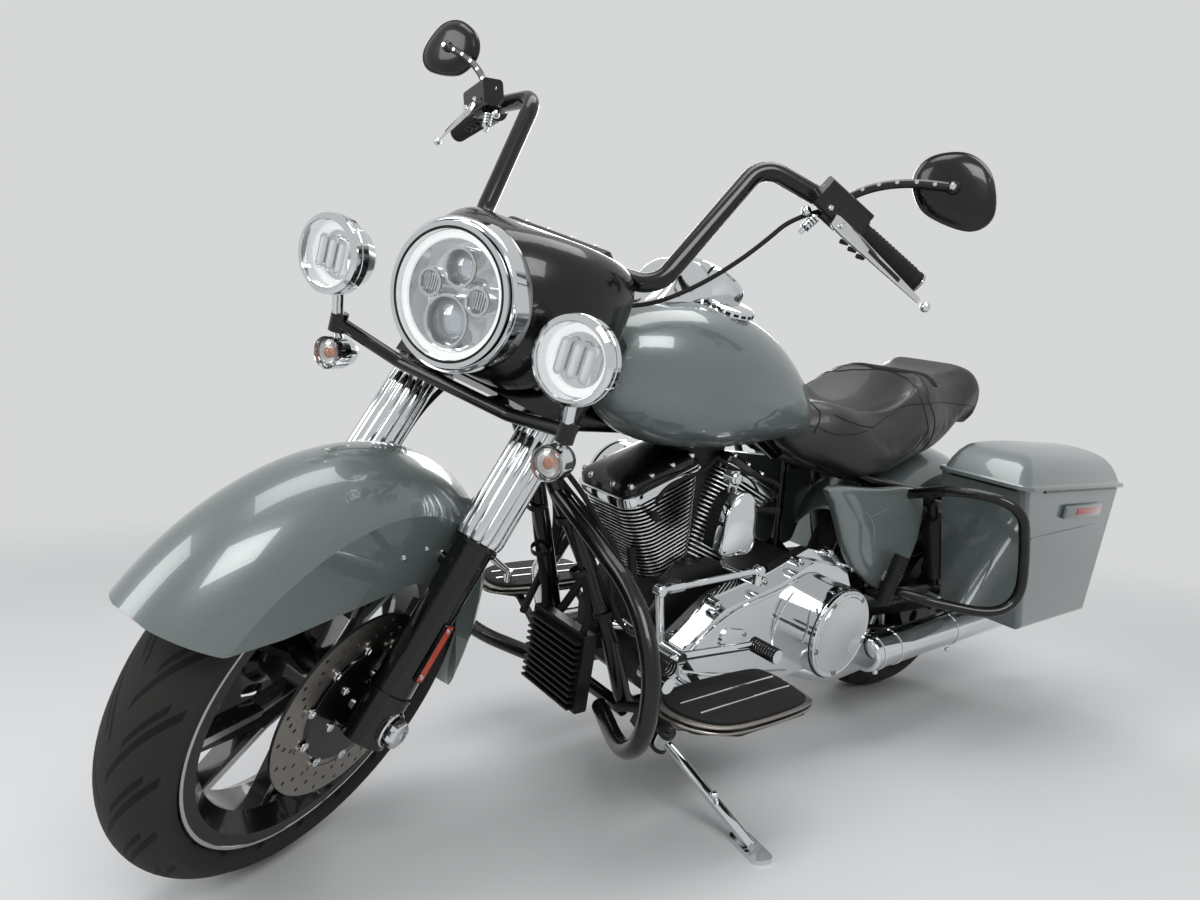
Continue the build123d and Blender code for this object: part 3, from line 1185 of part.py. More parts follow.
BOARD_Z = 308
BOARD_T = 18
BOARD = [(1148, 286), (1130, 352), (1060, 390), (880, 390), (846, 352), (846, 268), (900, 246), (1100, 246)]
with BuildPart() as footboards:
    with BuildSketch(Plane.XY.offset(BOARD_Z - BOARD_T)):
        with BuildLine():
            FilletPolyline(*BOARD, radius=26, close=True)
        make_face()
    extrude(amount=BOARD_T)
    for x in (910, 1070):
        add(rod((x, 264, BOARD_Z - BOARD_T - 8), (x, RAIL_Y, 200), 9))
        add(rod((x, 264, BOARD_Z - BOARD_T - 8), (x, 320, BOARD_Z - BOARD_T - 8), 9))
    mirror(about=Plane.XZ)
    for piece in (frame, exhaust, primary, engine_guard):
        add(piece.part, mode=Mode.SUBTRACT)
keep(footboards, "footboards")

SHAFT = (1086, 372)
with BuildPart() as foot_controls:
    add(drum(SHAFT[0], SHAFT[1], 11, 104, 262))
    add(rod((SHAFT[0], 116, SHAFT[1]), (SHAFT[0] + 34, 94, SHAFT[1]), 9))
    add(rod((SHAFT[0], 252, SHAFT[1]), (1172, 262, 366), 8))
    add(rod((SHAFT[0], 252, SHAFT[1]), (900, 268, 372), 8))
    add(rod((1172, 256, 366), (1172, 318, 366), 13))
    add(rod((900, 262, 372), (900, 322, 372), 13))
    add(rod((SHAFT[0], 204, SHAFT[1]), (1110, 204, 474), 8))
    add(rod((1110, 204, 478), (846, 204, 490), 6))
    add(rod((846, 204, 500), (846, 204, 462), 8))
    add(rod((846, 198, 466), (846, 120, 466), 8))
    add(rod((1104, -272, BOARD_Z), (1104, -272, BOARD_Z + 36), 10))
    add(rod((1104, -272, BOARD_Z + 30), (1176, -272, 396), 8))
    add(rod((1172, -304, 396), (1172, -246, 396), 15))
    for piece in (frame, exhaust, primary, engine_guard, engine_cases, cylinders):
        add(piece.part, mode=Mode.SUBTRACT)
keep(foot_controls, "foot_controls")

PEG = (352, 398)
with BuildPart() as passenger_pegs:
    for side in (1, -1):
        add(rod((PEG[0], side * 162, PEG[1] - 20), (PEG[0], side * 206, PEG[1] - 20), 12))
        add(rod((PEG[0] + 4, side * 206, PEG[1] - 34), (PEG[0] - 26, side * 214, PEG[1] + 84), 17))
    for piece in (frame, exhaust, swingarm, side_covers, saddlebags, bag_guards, primary, rear_shocks):
        add(piece.part, mode=Mode.SUBTRACT)
keep(passenger_pegs, "passenger_pegs")

# ---- side stand ---------------------------------------------------------------------------------
STAND_PIVOT = Vector(1008, 182, 158)
STAND_FOOT = Vector(985, 403, 64)       # where the pad meets the floor, leaned over
STAND_PAD = 9
STAND_R = 10
KNUCKLE_R = 17
KNUCKLE_H = 30
foot_local = GROUND.to_local_coords(STAND_FOOT)
pad_centre = GROUND.from_local_coords((foot_local.X, foot_local.Y, 0))
pad_top = GROUND.from_local_coords((foot_local.X, foot_local.Y, STAND_PAD))
down_run = (pad_top - STAND_PIVOT).normalized()
folded_run = Vector(-0.98, 0.19, -0.02).normalized()
STAND_AXIS = down_run.cross(folded_run).normalized()
STAND_SWING = degrees(down_run.get_angle(folded_run) * 3.14159265 / 180)
stand_face = Plane(origin=STAND_PIVOT, x_dir=down_run, z_dir=STAND_AXIS)
with BuildPart() as stand_bracket:
    for low, high in ((-KNUCKLE_H / 2 - 9, -KNUCKLE_H / 2), (KNUCKLE_H / 2, KNUCKLE_H / 2 + 9)):
        with BuildSketch(stand_face.offset(low)):
            Circle(KNUCKLE_R)
            with Locations((-36, 0)):
                Rectangle(72, 2 * KNUCKLE_R)
        extrude(amount=high - low)
    with BuildSketch(stand_face.offset(-KNUCKLE_H / 2 - 9)):
        with Locations((-50, 0)):
            Rectangle(44, 2 * KNUCKLE_R)
    extrude(amount=KNUCKLE_H + 18)
    add(rod(STAND_PIVOT - STAND_AXIS * 26, STAND_PIVOT + STAND_AXIS * 26, 6))
    add(engine_cases.part, mode=Mode.SUBTRACT)

with BuildPart() as whole_frame:
    add(frame.part)
    add(stand_bracket.part)
keep(whole_frame, "frame", solids=1)

with BuildPart() as side_stand:
    with BuildSketch(stand_face.offset(-KNUCKLE_H / 2 + FIT)):
        Circle(KNUCKLE_R - 1)
    extrude(amount=KNUCKLE_H - 2 * FIT)
    add(rod(STAND_PIVOT, pad_top, STAND_R))
    with BuildSketch(Plane(origin=pad_centre, x_dir=GROUND.from_local_coords((0.31, 0.95, 0)) - GROUND.origin,
                           z_dir=GROUND.z_dir)):
        RectangleRounded(96, 40, 16)
    extrude(amount=STAND_PAD)
    tab = STAND_PIVOT + down_run * 150
    add(rod(tab, tab + Vector(24, 10, 30), 5))
    with Locations(tab + Vector(26, 11, 32)):
        Sphere(8)
    add(rod(STAND_PIVOT - STAND_AXIS * 40, STAND_PIVOT + STAND_AXIS * 40, 6 + 0.05), mode=Mode.SUBTRACT)
keep(side_stand, "side_stand")

# ---- placing ------------------------------------------------------------------------
placed = []
for piece, name, group in nodes:
    turned = piece.rotate(STEER_AXIS, STEER_LOCK) if group == "steered" else piece
    placed.append((turned.moved(PARKED), name))

boxes = [piece.bounding_box() for piece, name in placed]
mid_x = (min(box.min.X for box in boxes) + max(box.max.X for box in boxes)) / 2
mid_y = (min(box.min.Y for box in boxes) + max(box.max.Y for box in boxes)) / 2
low_z = min(box.min.Z for box in boxes)
SHIFT = Location((-mid_x, -mid_y, 0))

os.makedirs("parts", exist_ok=True)
for piece, name in placed:
    final = piece.moved(SHIFT)
    final.label = name
    export_step(final, "parts/" + name + ".step")

print("pitch", pitch, "height", -rear_low, "shift", mid_x, mid_y, "lowest", low_z)
print("stand", list(STAND_PIVOT), list(STAND_AXIS), STAND_SWING)
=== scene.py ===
"""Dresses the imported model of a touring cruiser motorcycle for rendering.

Lengths are in metres. Sub-assemblies are drawn upright with straight steering, in the same
frame as the machine's own sizes: X forward from the rear axle, Y to the rider's left, Z up
from the floor. A Stance turns that frame into the leaned and steered place of the model.
"""
import json
import logging
from dataclasses import dataclass, field
from enum import Enum
from math import cos, pi, radians, sin, tau
from typing import Any, Dict, Iterable, List, Optional, Sequence, Tuple

import bpy
from bpy.types import Material, Node, NodeSocket, NodeTree, Object
from mathutils import Matrix, Vector


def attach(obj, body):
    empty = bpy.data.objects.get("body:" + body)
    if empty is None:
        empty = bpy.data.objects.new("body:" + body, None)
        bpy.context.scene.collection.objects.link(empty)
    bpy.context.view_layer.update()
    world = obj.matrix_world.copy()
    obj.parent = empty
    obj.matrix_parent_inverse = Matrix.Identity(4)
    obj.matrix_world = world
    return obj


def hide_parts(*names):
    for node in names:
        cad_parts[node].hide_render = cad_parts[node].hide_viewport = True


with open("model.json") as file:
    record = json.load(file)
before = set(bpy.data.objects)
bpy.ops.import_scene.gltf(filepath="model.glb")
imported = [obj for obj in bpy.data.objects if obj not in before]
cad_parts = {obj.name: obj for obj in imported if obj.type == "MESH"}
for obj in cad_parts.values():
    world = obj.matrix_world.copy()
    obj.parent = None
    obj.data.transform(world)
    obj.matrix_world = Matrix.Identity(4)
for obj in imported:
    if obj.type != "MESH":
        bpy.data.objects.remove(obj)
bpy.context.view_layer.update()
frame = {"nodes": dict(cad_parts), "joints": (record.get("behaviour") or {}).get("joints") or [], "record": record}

LOG = logging.getLogger("cruiser")
Pair = Tuple[float, float]
Point = Tuple[float, float, float]
MM = 0.001


# ---- placing ----
@dataclass
class Stance:
    """How the machine stands: leaned on its stand with the steering on its left stop.

    Attributes:
        lean: degrees to the left.
        steer: degrees of left steering.
        rake: degrees of the steering axis from vertical.
        axis_x: where the steering axis meets the floor.
        rear_hub_z: height of the rear axle.
    """

    lean: float = 9.0
    steer: float = 28.0
    rake: float = 26.0
    axis_x: float = 1.795
    rear_hub_z: float = 0.325

    def chassis(self) -> Matrix:
        """Returns the matrix from the upright frame to the model's frame."""
        hub = next(j for j in frame["joints"] if j["name"] == "rear_wheel_spin")["pos_m"]
        turn = Matrix.Rotation(radians(-self.lean), 4, "X")
        return Matrix.Translation(Vector(hub) - turn @ Vector((0, 0, self.rear_hub_z))) @ turn

    def steered(self) -> Matrix:
        """Returns the same matrix for what turns with the handlebar."""
        pivot = Matrix.Translation((self.axis_x, 0, 0))
        axis = Vector((-sin(radians(self.rake)), 0, cos(radians(self.rake))))
        return self.chassis() @ pivot @ Matrix.Rotation(
            radians(self.steer), 4, axis) @ pivot.inverted()


class Body(Enum):
    """The moving bodies that a piece can ride on."""

    CHASSIS = "chassis"
    STEERING = "steering"
    FRONT_WHEEL = "front_wheel"
    REAR_WHEEL = "rear_wheel"
    LEFT_LID = "left_lid"
    RIGHT_LID = "right_lid"
    STAND = "side_stand"


STANCE = Stance()
PLACE: Dict[Body, Matrix] = {
    body: STANCE.steered() if body in (Body.STEERING, Body.FRONT_WHEEL) else STANCE.chassis()
    for body in Body
}


# ---- materials ----
def srgb(code: str) -> Tuple[float, float, float, float]:
    """Turns an sRGB hex colour into linear values.

    Args:
        code: six hex digits.

    Returns:
        Linear red, green, blue and an alpha of 1.
    """
    values = [int(code[i:i + 2], 16) / 255 for i in (0, 2, 4)]
    linear = [v / 12.92 if v <= 0.04045 else ((v + 0.055) / 1.055) ** 2.4 for v in values]
    return (*linear, 1.0)


def feed(target: Node, key: Any, value: Any) -> None:
    """Sets one input of a node to a value, or links it to the socket that feeds it."""
    if isinstance(value, NodeSocket):
        target.id_data.links.new(value, target.inputs[key])
    else:
        target.inputs[key].default_value = value


def node(tree: NodeTree, kind: str, links: Optional[dict] = None, **settings: Any) -> Node:
    """Adds one shader node.

    Args:
        tree: the node tree.
        kind: the node's type name.
        links: input name or index to its value or the socket that feeds it.
        **settings: node attributes, or inputs with their spaces as underscores.

    Returns:
        The new node.
    """
    made = tree.nodes.new(kind)
    for key, value in settings.items():
        if hasattr(made, key) and key not in made.inputs:
            setattr(made, key, value)
        else:
            feed(made, key.replace("_", " "), value)
    for key, value in (links or {}).items():
        feed(made, key, value)
    return made


def ramp(tree: NodeTree, source: NodeSocket, stops: Sequence[Tuple[float, str]]) -> NodeSocket:
    """Adds a colour ramp fed by a socket.

    Args:
        tree: the node tree.
        source: the value to map.
        stops: positions and sRGB hex colours.

    Returns:
        The ramp's colour output.
    """
    made = node(tree, "ShaderNodeValToRGB", {"Fac": source})
    while len(made.color_ramp.elements) < len(stops):
        made.color_ramp.elements.new(0.5)
    for element, (position, colour) in zip(made.color_ramp.elements, stops):
        element.position = position
        element.color = srgb(colour)
    return made.outputs["Color"]


def maths(tree: NodeTree, kind: str, *values: Any) -> NodeSocket:
    """Adds one maths node.

    Args:
        tree: the node tree.
        kind: the operation.
        *values: numbers or sockets, in order.

    Returns:
        The result.
    """
    return node(tree, "ShaderNodeMath", dict(enumerate(values)), operation=kind).outputs[0]


def noise(
    tree: NodeTree, place: NodeSocket, scale: float, detail: float = 2.0, **more: float,
) -> NodeSocket:
    """Adds a noise pattern.

    Args:
        tree: the node tree.
        place: the coordinates that it is laid on.
        scale: its size, as waves to the metre.
        detail: octaves.
        **more: other inputs of the node.

    Returns:
        The pattern.
    """
    made = node(tree, "ShaderNodeTexNoise", {"Vector": place}, Scale=scale, Detail=detail, **more)
    return made.outputs["Fac"]


def bumped(tree: NodeTree, height: NodeSocket, strength: float, distance: float) -> NodeSocket:
    """Returns the surface normal that a height pattern gives, its distance in metres."""
    return node(
        tree, "ShaderNodeBump", {"Height": height}, Strength=strength, Distance=distance).outputs[0]


def between(tree: NodeTree, value: NodeSocket, low: float, high: float) -> NodeSocket:
    """Returns a 0 to 1 pattern mapped to a range."""
    return node(tree, "ShaderNodeMapRange", {"Value": value}, To_Min=low, To_Max=high).outputs[0]


def empty(name: str) -> Tuple[Material, NodeTree, NodeSocket]:
    """Starts a material with nothing in it, and gives the coordinates its patterns use.

    Args:
        name: the material's name.

    Returns:
        The material, its tree and the object's own coordinates.
    """
    material = bpy.data.materials.new(name)
    material.use_nodes = True
    tree = material.node_tree
    tree.nodes.clear()
    return material, tree, node(tree, "ShaderNodeTexCoord").outputs["Object"]


def surface(tree: NodeTree, **settings: Any) -> Node:
    """Adds a principled shader with these inputs, and the output that shows it.

    Args:
        tree: the node tree.
        **settings: the shader's inputs, with their spaces as underscores.

    Returns:
        The shader.
    """
    shader = node(tree, "ShaderNodeBsdfPrincipled", None, **settings)
    node(tree, "ShaderNodeOutputMaterial", {"Surface": shader.outputs[0]})
    return shader


@dataclass(frozen=True)
class Paint:
    """Base coat under clear lacquer, sprayed on steel: deep gloss with a fine metal flake.

    Attributes:
        name: the material's name.
        colour: sRGB hex of the coat.
        flake: sRGB hex of the flake.
        roughness: roughness of the base coat.
        coat: weight of the lacquer.
    """

    name: str
    colour: str
    flake: str
    roughness: float = 0.32
    coat: float = 1.0

    def build(self) -> Material:
        """Returns the finished material."""
        material, tree, place = empty(self.name)
        # flakes of a real coat are 0.05 mm; drawn at 0.6 mm so that they just show
        flakes = noise(tree, place, 1600.0)
        cloud = noise(tree, place, 4.0, 3.0)
        tint = node(tree, "ShaderNodeMix", {
            0: cloud, 6: ramp(tree, flakes, [(0.4, self.colour), (0.75, self.flake)]),
            7: (0.94, 0.95, 0.95, 1.0),
        }, data_type="RGBA", blend_type="MULTIPLY")
        # orange peel of sprayed lacquer, about 3 mm across and very shallow
        peel = noise(tree, place, 320.0, 1.0)
        surface(
            tree, Base_Color=tint.outputs[2], Normal=bumped(tree, peel, 0.012, 0.001),
            Roughness=self.roughness, Metallic=0.25, Coat_Weight=self.coat, Coat_Roughness=0.03,
        )
        return material


@dataclass(frozen=True)
class Metal:
    """Bare or plated metal, from mirror chrome to ground stainless.

    Attributes:
        name: the material's name.
        colour: sRGB hex.
        low: roughness where it is cleanest.
        high: roughness where it is handled or weathered.
        grain: size of the tool marks in millimetres, 0 for none.
        depth: strength of the tool marks.
    """

    name: str
    colour: str
    low: float
    high: float
    grain: float = 0.0
    depth: float = 0.0

    def build(self) -> Material:
        """Returns the finished material."""
        material, tree, place = empty(self.name)
        smear = between(tree, noise(tree, place, 22.0, 5.0), self.low, self.high)
        shader = surface(tree, Base_Color=srgb(self.colour), Metallic=1.0, Roughness=smear)
        if self.grain:
            marks = noise(tree, place, 1000.0 / self.grain)
            feed(shader, "Normal", bumped(tree, marks, self.depth, 0.0005))
        return material


@dataclass(frozen=True)
class Coating:
    """Powder coat, moulded plastic or rubber: a colour with a fine moulded or sprayed grain.

    Attributes:
        name: the material's name.
        colour: sRGB hex.
        wear: sRGB hex of the dust and rubbed places.
        roughness: roughness of the clean surface.
        grain: grain size in millimetres.
        depth: strength of the grain.
        coat: weight of a gloss top layer.
        shine: how strongly the surface under that layer reflects.
    """

    name: str
    colour: str
    wear: str
    roughness: float
    grain: float = 0.8
    depth: float = 0.1
    coat: float = 0.0
    shine: float = 0.3

    def build(self) -> Material:
        """Returns the finished material."""
        material, tree, place = empty(self.name)
        dust = noise(tree, place, 14.0, 6.0, Roughness=0.7)
        grain = noise(tree, place, 1000.0 / self.grain)
        surface(
            tree, Base_Color=ramp(tree, dust, [(0.45, self.colour), (0.85, self.wear)]),
            Normal=bumped(tree, grain, self.depth, 0.0006), Specular_IOR_Level=self.shine,
            Roughness=between(tree, dust, self.roughness * 0.9, min(1.0, self.roughness * 1.25)),
            Coat_Weight=self.coat, Coat_Roughness=0.04,
        )
        return material


@dataclass(frozen=True)
class ClearShell:
    """Thin clear glass or polycarbonate: what is behind shows through, under a sharp reflection.

    Attributes:
        name: the material's name.
        colour: sRGB hex of the light that passes.
        shine: how much of the surface's own reflection shows head on.
    """

    name: str
    colour: str
    shine: float

    def build(self) -> Material:
        """Returns the finished material."""
        material, tree, place = empty(self.name)
        haze = bumped(tree, noise(tree, place, 90.0), 0.015, 0.0004)
        through = node(tree, "ShaderNodeBsdfTransparent", Color=srgb(self.colour))
        gloss = node(tree, "ShaderNodeBsdfGlossy", Normal=haze, Roughness=0.02)
        edge = node(tree, "ShaderNodeLayerWeight", Blend=0.25).outputs["Fresnel"]
        mix = node(tree, "ShaderNodeMixShader", {
            0: between(tree, edge, self.shine, 0.9), 1: through.outputs[0], 2: gloss.outputs[0],
        })
        node(tree, "ShaderNodeOutputMaterial", {"Surface": mix.outputs[0]})
        return material


@dataclass(frozen=True)
class Glow:
    """Frosted plastic that glows: the lit light guides, and the chips whose faint glow is painted light.

    Attributes:
        name: the material's name.
        colour: sRGB hex of the plastic and of its light.
        strength: how brightly it glows.
    """

    name: str
    colour: str
    strength: float

    def build(self) -> Material:
        """Returns the finished material."""
        material, tree, _ = empty(self.name)
        tone = srgb(self.colour)
        surface(
            tree, Base_Color=tone, Emission_Color=tone, Emission_Strength=self.strength,
            Roughness=0.4)
        return material


class Finish(Enum):
    """Every finish on the machine."""

    PAINT = Paint("grey_green_paint", "5E6766", "76807F")
    BLACK = Coating("gloss_black_powder_coat", "070708", "0E0E0F", 0.24, 2.0, 0.02, 0.5, 0.2)
    SATIN = Coating("satin_black_powder_coat", "0E0E0F", "19191A", 0.42, 0.9, 0.12, 0.05)
    CHROME = Metal("bright_chrome_plate", "DADCDD", 0.03, 0.09)
    ALLOY = Metal("polished_aluminium", "C9CBCC", 0.12, 0.24, 0.7, 0.05)
    STEEL = Metal("ground_stainless", "948F89", 0.24, 0.36, 0.5, 0.15)
    RUBBER = Coating("moulded_rubber", "111112", "1D1D1C", 0.7, 1.2, 0.25)
    TYRE = Coating("vulcanised_tyre_rubber", "151515", "23221F", 0.62, 1.6, 0.25)
    LEATHER = Coating("coated_leather", "161617", "222223", 0.44, 2.2, 0.35, 0.15, 0.5)
    PIPING = Coating("seat_piping_cord", "0C0C0D", "1A1A1B", 0.5, 1.4, 0.2, 0.1)
    LENS = ClearShell("clear_lamp_glass", "FFFFFF", 0.10)
    CUT = Metal("machined_aluminium", "D0D2D3", 0.16, 0.26, 0.35, 0.18)
    MILLED = Metal("milled_fin_edge", "F2F3F3", 0.22, 0.32, 0.35, 0.12)
    POLISH = Metal("polished_cast_aluminium", "D6D7D6", 0.07, 0.14)
    AMBER = Coating("amber_bulb", "D9701E", "E88A35", 0.2, 3.0, 0.8, 1.0)
    RED = Coating("red_lamp_plastic", "9E0F12", "B81A1A", 0.12, 4.0, 0.4, 1.0)
    MIRROR = Metal("silvered_mirror_glass", "F2F4F5", 0.01, 0.02)
    PROJECTOR = ClearShell("projector_glass", "E9F0F6", 0.32)
    # painted glow: the chips glow faintly so that the projector domes and the aux bowls look bright, standing in
    # for reflections
    CHIP = Glow("chip_painted_glow", "DDE3E8", 0.3)
    DIAL = Coating("printed_dial", "E9E7DF", "DEDCD2", 0.5, 1.0, 0.02)
    # dark plastic for the dial face and the gaskets, and also painted shade in the muffler bores and the filler
    # cap's slots
    DARK = Coating("dark_plastic_and_painted_shade", "070708", "0C0C0D", 0.6, 1.0, 0.1)
    REFLECTOR = Coating("orange_red_reflector", "C2391B", "D7532C", 0.15, 2.5, 0.5, 0.8)
    GLOW = Glow("lit_light_guide", "F4F6F6", 0.7)

    def material(self) -> Material:
        """Returns this finish's material, made once."""
        return bpy.data.materials.get(self.value.name) or self.value.build()


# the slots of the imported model: first the slot's own finish, then those that stand in for it
SLOTS: Dict[str, Sequence[Finish]] = {
    "tyre": (Finish.TYRE,), "paint": (Finish.PAINT,), "black_gloss": (Finish.BLACK,),
    "black_satin": (Finish.SATIN, Finish.DARK), "chrome": (Finish.CHROME, Finish.MIRROR),
    "alloy": (Finish.ALLOY, Finish.CUT, Finish.MILLED, Finish.POLISH, Finish.STEEL),
    "disc_steel": (Finish.STEEL,), "rubber": (Finish.RUBBER,),
    "leather": (Finish.LEATHER, Finish.PIPING), "reflector_red": (Finish.REFLECTOR, Finish.RED),
    "lens": (Finish.LENS, Finish.PROJECTOR, Finish.AMBER, Finish.CHIP, Finish.GLOW, Finish.DIAL),
}


def dress_packed() -> None:
    """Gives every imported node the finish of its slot."""
    slots = {part["node"]: part["material_slot"] for part in frame["record"]["subparts"]}
    for name, piece in frame["nodes"].items():
        piece.data.materials.clear()
        piece.data.materials.append(SLOTS[slots[name]][0].material())
        LOG.info("%s: %s", name, slots[name])


# ---- making ----
def select_none() -> None:
    """Deselects every object."""
    bpy.ops.object.select_all(action="DESELECT")


def select_every() -> None:
    """Selects all that the mesh in edit mode has."""
    bpy.ops.mesh.select_all(action="SELECT")


def mode(name: str) -> None:
    """Goes to edit or to object mode."""
    bpy.ops.object.mode_set(mode=name)


def extrude(way: Sequence[float]) -> None:
    """Extrudes what is selected by a distance in metres."""
    bpy.ops.mesh.extrude_region_move(TRANSFORM_OT_translate={"value": way})


def select_only(*pieces: Object) -> None:
    """Selects just these objects and makes the first one active."""
    select_none()
    for piece in pieces:
        piece.select_set(True)
    bpy.context.view_layer.objects.active = pieces[0]


def modify(piece: Object, kind: str, **settings: Any) -> None:
    """Gives the active piece a modifier and applies it.

    Args:
        piece: the piece.
        kind: the modifier's type name.
        **settings: the modifier's own settings.
    """
    modifier = piece.modifiers.new(kind.lower(), kind)
    for key, value in settings.items():
        setattr(modifier, key, value)
    bpy.ops.object.modifier_apply(modifier=modifier.name)


def scaled(points: Iterable[Sequence[float]]) -> List[Vector]:
    """Turns millimetres into metres."""
    return [Vector(point) * MM for point in points]


@dataclass(frozen=True)
class Place:
    """A local frame on one body of the upright machine, in millimetres.

    Attributes:
        body: what the piece rides on.
        origin: the frame's origin.
        axis: its Z axis.
        front: a direction that its X axis leans to.
    """

    body: Body
    origin: Point = (0.0, 0.0, 0.0)
    axis: Point = (0.0, 0.0, 1.0)
    front: Point = (1.0, 0.0, 0.0)

    def matrix(self) -> Matrix:
        """Returns the matrix from the local frame to the model's frame."""
        z = Vector(self.axis).normalized()
        x = (Vector(self.front) - z * Vector(self.front).dot(z)).normalized()
        local = Matrix((x, z.cross(x), z)).transposed().to_4x4()
        return PLACE[self.body] @ Matrix.Translation(Vector(self.origin) * MM) @ local

    def settle(
        self, piece: Any, name: str, finish: Finish, angle: float = 35.0,
        replaces: Sequence[str] = (), slot: str = "",
    ) -> None:
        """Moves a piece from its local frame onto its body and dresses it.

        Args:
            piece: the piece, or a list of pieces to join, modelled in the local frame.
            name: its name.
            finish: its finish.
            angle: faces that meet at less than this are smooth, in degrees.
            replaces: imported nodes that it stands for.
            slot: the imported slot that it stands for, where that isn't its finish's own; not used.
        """
        if isinstance(piece, list):
            piece = joined(piece)
        piece.matrix_world = self.matrix() @ piece.matrix_world
        select_only(piece)
        bpy.ops.object.transform_apply(location=True, rotation=True, scale=True)
        piece.name = piece.data.name = name
        piece.data.materials.clear()
        piece.data.materials.append(finish.material())
        bpy.ops.object.shade_smooth_by_angle(angle=radians(angle))
        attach(piece, self.body.value)
        if replaces:
            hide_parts(*replaces)
        LOG.info("%s: %d faces", name, len(piece.data.polygons))


def turned(rows: Sequence[Pair], segments: int = 48) -> Object:
    """Turns a profile about the local Z axis.

    Args:
        rows: height and radius of each ring; an equal first and last row close it.
        segments: faces around.

    Returns:
        The turned piece.
    """
    select_none()
    bpy.ops.mesh.primitive_circle_add(
        vertices=segments, radius=rows[0][1] * MM, location=(0, 0, rows[0][0] * MM))
    piece = bpy.context.object
    bpy.ops.object.transform_apply(location=True)
    mode("EDIT")
    select_every()
    for (low, inner), (high, outer) in zip(rows, rows[1:]):
        extrude((0, 0, (high - low) * MM))
        grow = outer / inner
        bpy.ops.transform.resize(value=(grow, grow, 1), center_override=(0, 0, high * MM))
    select_every()
    if rows[0] == rows[-1]:
        bpy.ops.mesh.remove_doubles(threshold=1e-6)
    else:
        bpy.ops.mesh.fill_holes(sides=0)
    bpy.ops.mesh.normals_make_consistent(inside=False)
    mode("OBJECT")
    return piece


def ring_of(rows: Sequence[Pair], segments: int = 48) -> Object:
    """Turns a closed profile, which leaves the middle open, about the local Z axis."""
    return turned([*rows, rows[0]], segments)


def chain(points: Sequence[Sequence[float]], close: bool = False) -> Object:
    """Draws a run of edges by extruding one vertex.

    Args:
        points: the corners in order.
        close: whether the last joins the first.

    Returns:
        An object with edges alone, left in edit mode with everything selected.
    """
    way = scaled(points)
    select_none()
    bpy.ops.mesh.primitive_plane_add(size=0.001, location=(0, 0, 0))
    mode("EDIT")
    select_every()
    bpy.ops.mesh.merge(type="CENTER")
    bpy.ops.transform.translate(value=way[0])
    for here, there in zip(way, way[1:]):
        extrude(there - here)
    if close:
        extrude(way[0] - way[-1])
        select_every()
        bpy.ops.mesh.remove_doubles(threshold=1e-6)
    select_every()
    return bpy.context.object


def pipe(
    points: Sequence[Sequence[float]], radius: float, order: int = 4, sides: int = 3,
    close: bool = False,
    onto: Optional[Object] = None, under: Optional[Matrix] = None,
) -> Object:
    """Runs a round tube along a smooth line.

    Args:
        points: control points of the line.
        radius: the tube's radius.
        order: how smooth the line is; 2 gives straight runs.
        sides: rounding of the tube.
        close: whether the line is a loop.
        onto: a piece whose surface the line is laid on.
        under: the matrix from the line's frame to that piece's.

    Returns:
        The tube.
    """
    piece = chain(points, close)
    mode("OBJECT")
    if onto is not None:
        mode("EDIT")
        select_every()
        bpy.ops.mesh.subdivide(number_cuts=6)
        mode("OBJECT")
        piece.matrix_world = under
        modify(piece, "SHRINKWRAP", target=onto)
        piece.matrix_world = Matrix.Identity(4)
    bpy.ops.object.convert(target="CURVE")
    piece = bpy.context.object
    mode("EDIT")
    bpy.ops.curve.select_all(action="SELECT")
    bpy.ops.curve.spline_type_set(type="NURBS")
    mode("OBJECT")
    for spline in piece.data.splines:
        spline.use_endpoint_u = not close
        spline.use_cyclic_u = close
        spline.order_u = order
        spline.resolution_u = 8
    piece.data.bevel_depth = radius * MM
    piece.data.bevel_resolution = sides
    piece.data.use_fill_caps = not close
    bpy.ops.object.convert(target="MESH")
    return bpy.context.object


def block(size: Point, soft: float = 2.0, at: Point = (0.0, 0.0, 0.0), steps: int = 3) -> Object:
    """Makes a block with rounded edges.

    Args:
        size: its length along X, Y and Z.
        soft: radius of the edges.
        at: its centre.
        steps: faces across each rounded edge.

    Returns:
        The block.
    """
    select_none()
    bpy.ops.mesh.primitive_cube_add(size=1.0, location=Vector(at) * MM)
    piece = bpy.context.object
    piece.scale = Vector(size) * MM
    bpy.ops.object.transform_apply(location=True, rotation=True, scale=True)
    modify(piece, "BEVEL", width=soft * MM, segments=steps)
    return piece


def bulged(outline: Sequence[Pair], rows: Sequence[Pair]) -> Object:
    """Grows an outline upward through several sizes about its own middle.

    Args:
        outline: corners in the local XY plane.
        rows: height and size share of each copy of the outline.

    Returns:
        The piece, closed at both ends.
    """
    middle = [sum(corner[k] for corner in outline) / len(outline) for k in (0, 1)]
    about = [(x - middle[0], y - middle[1]) for x, y in outline]
    return stacked(about, [(z, share, share, *middle) for z, share in rows])


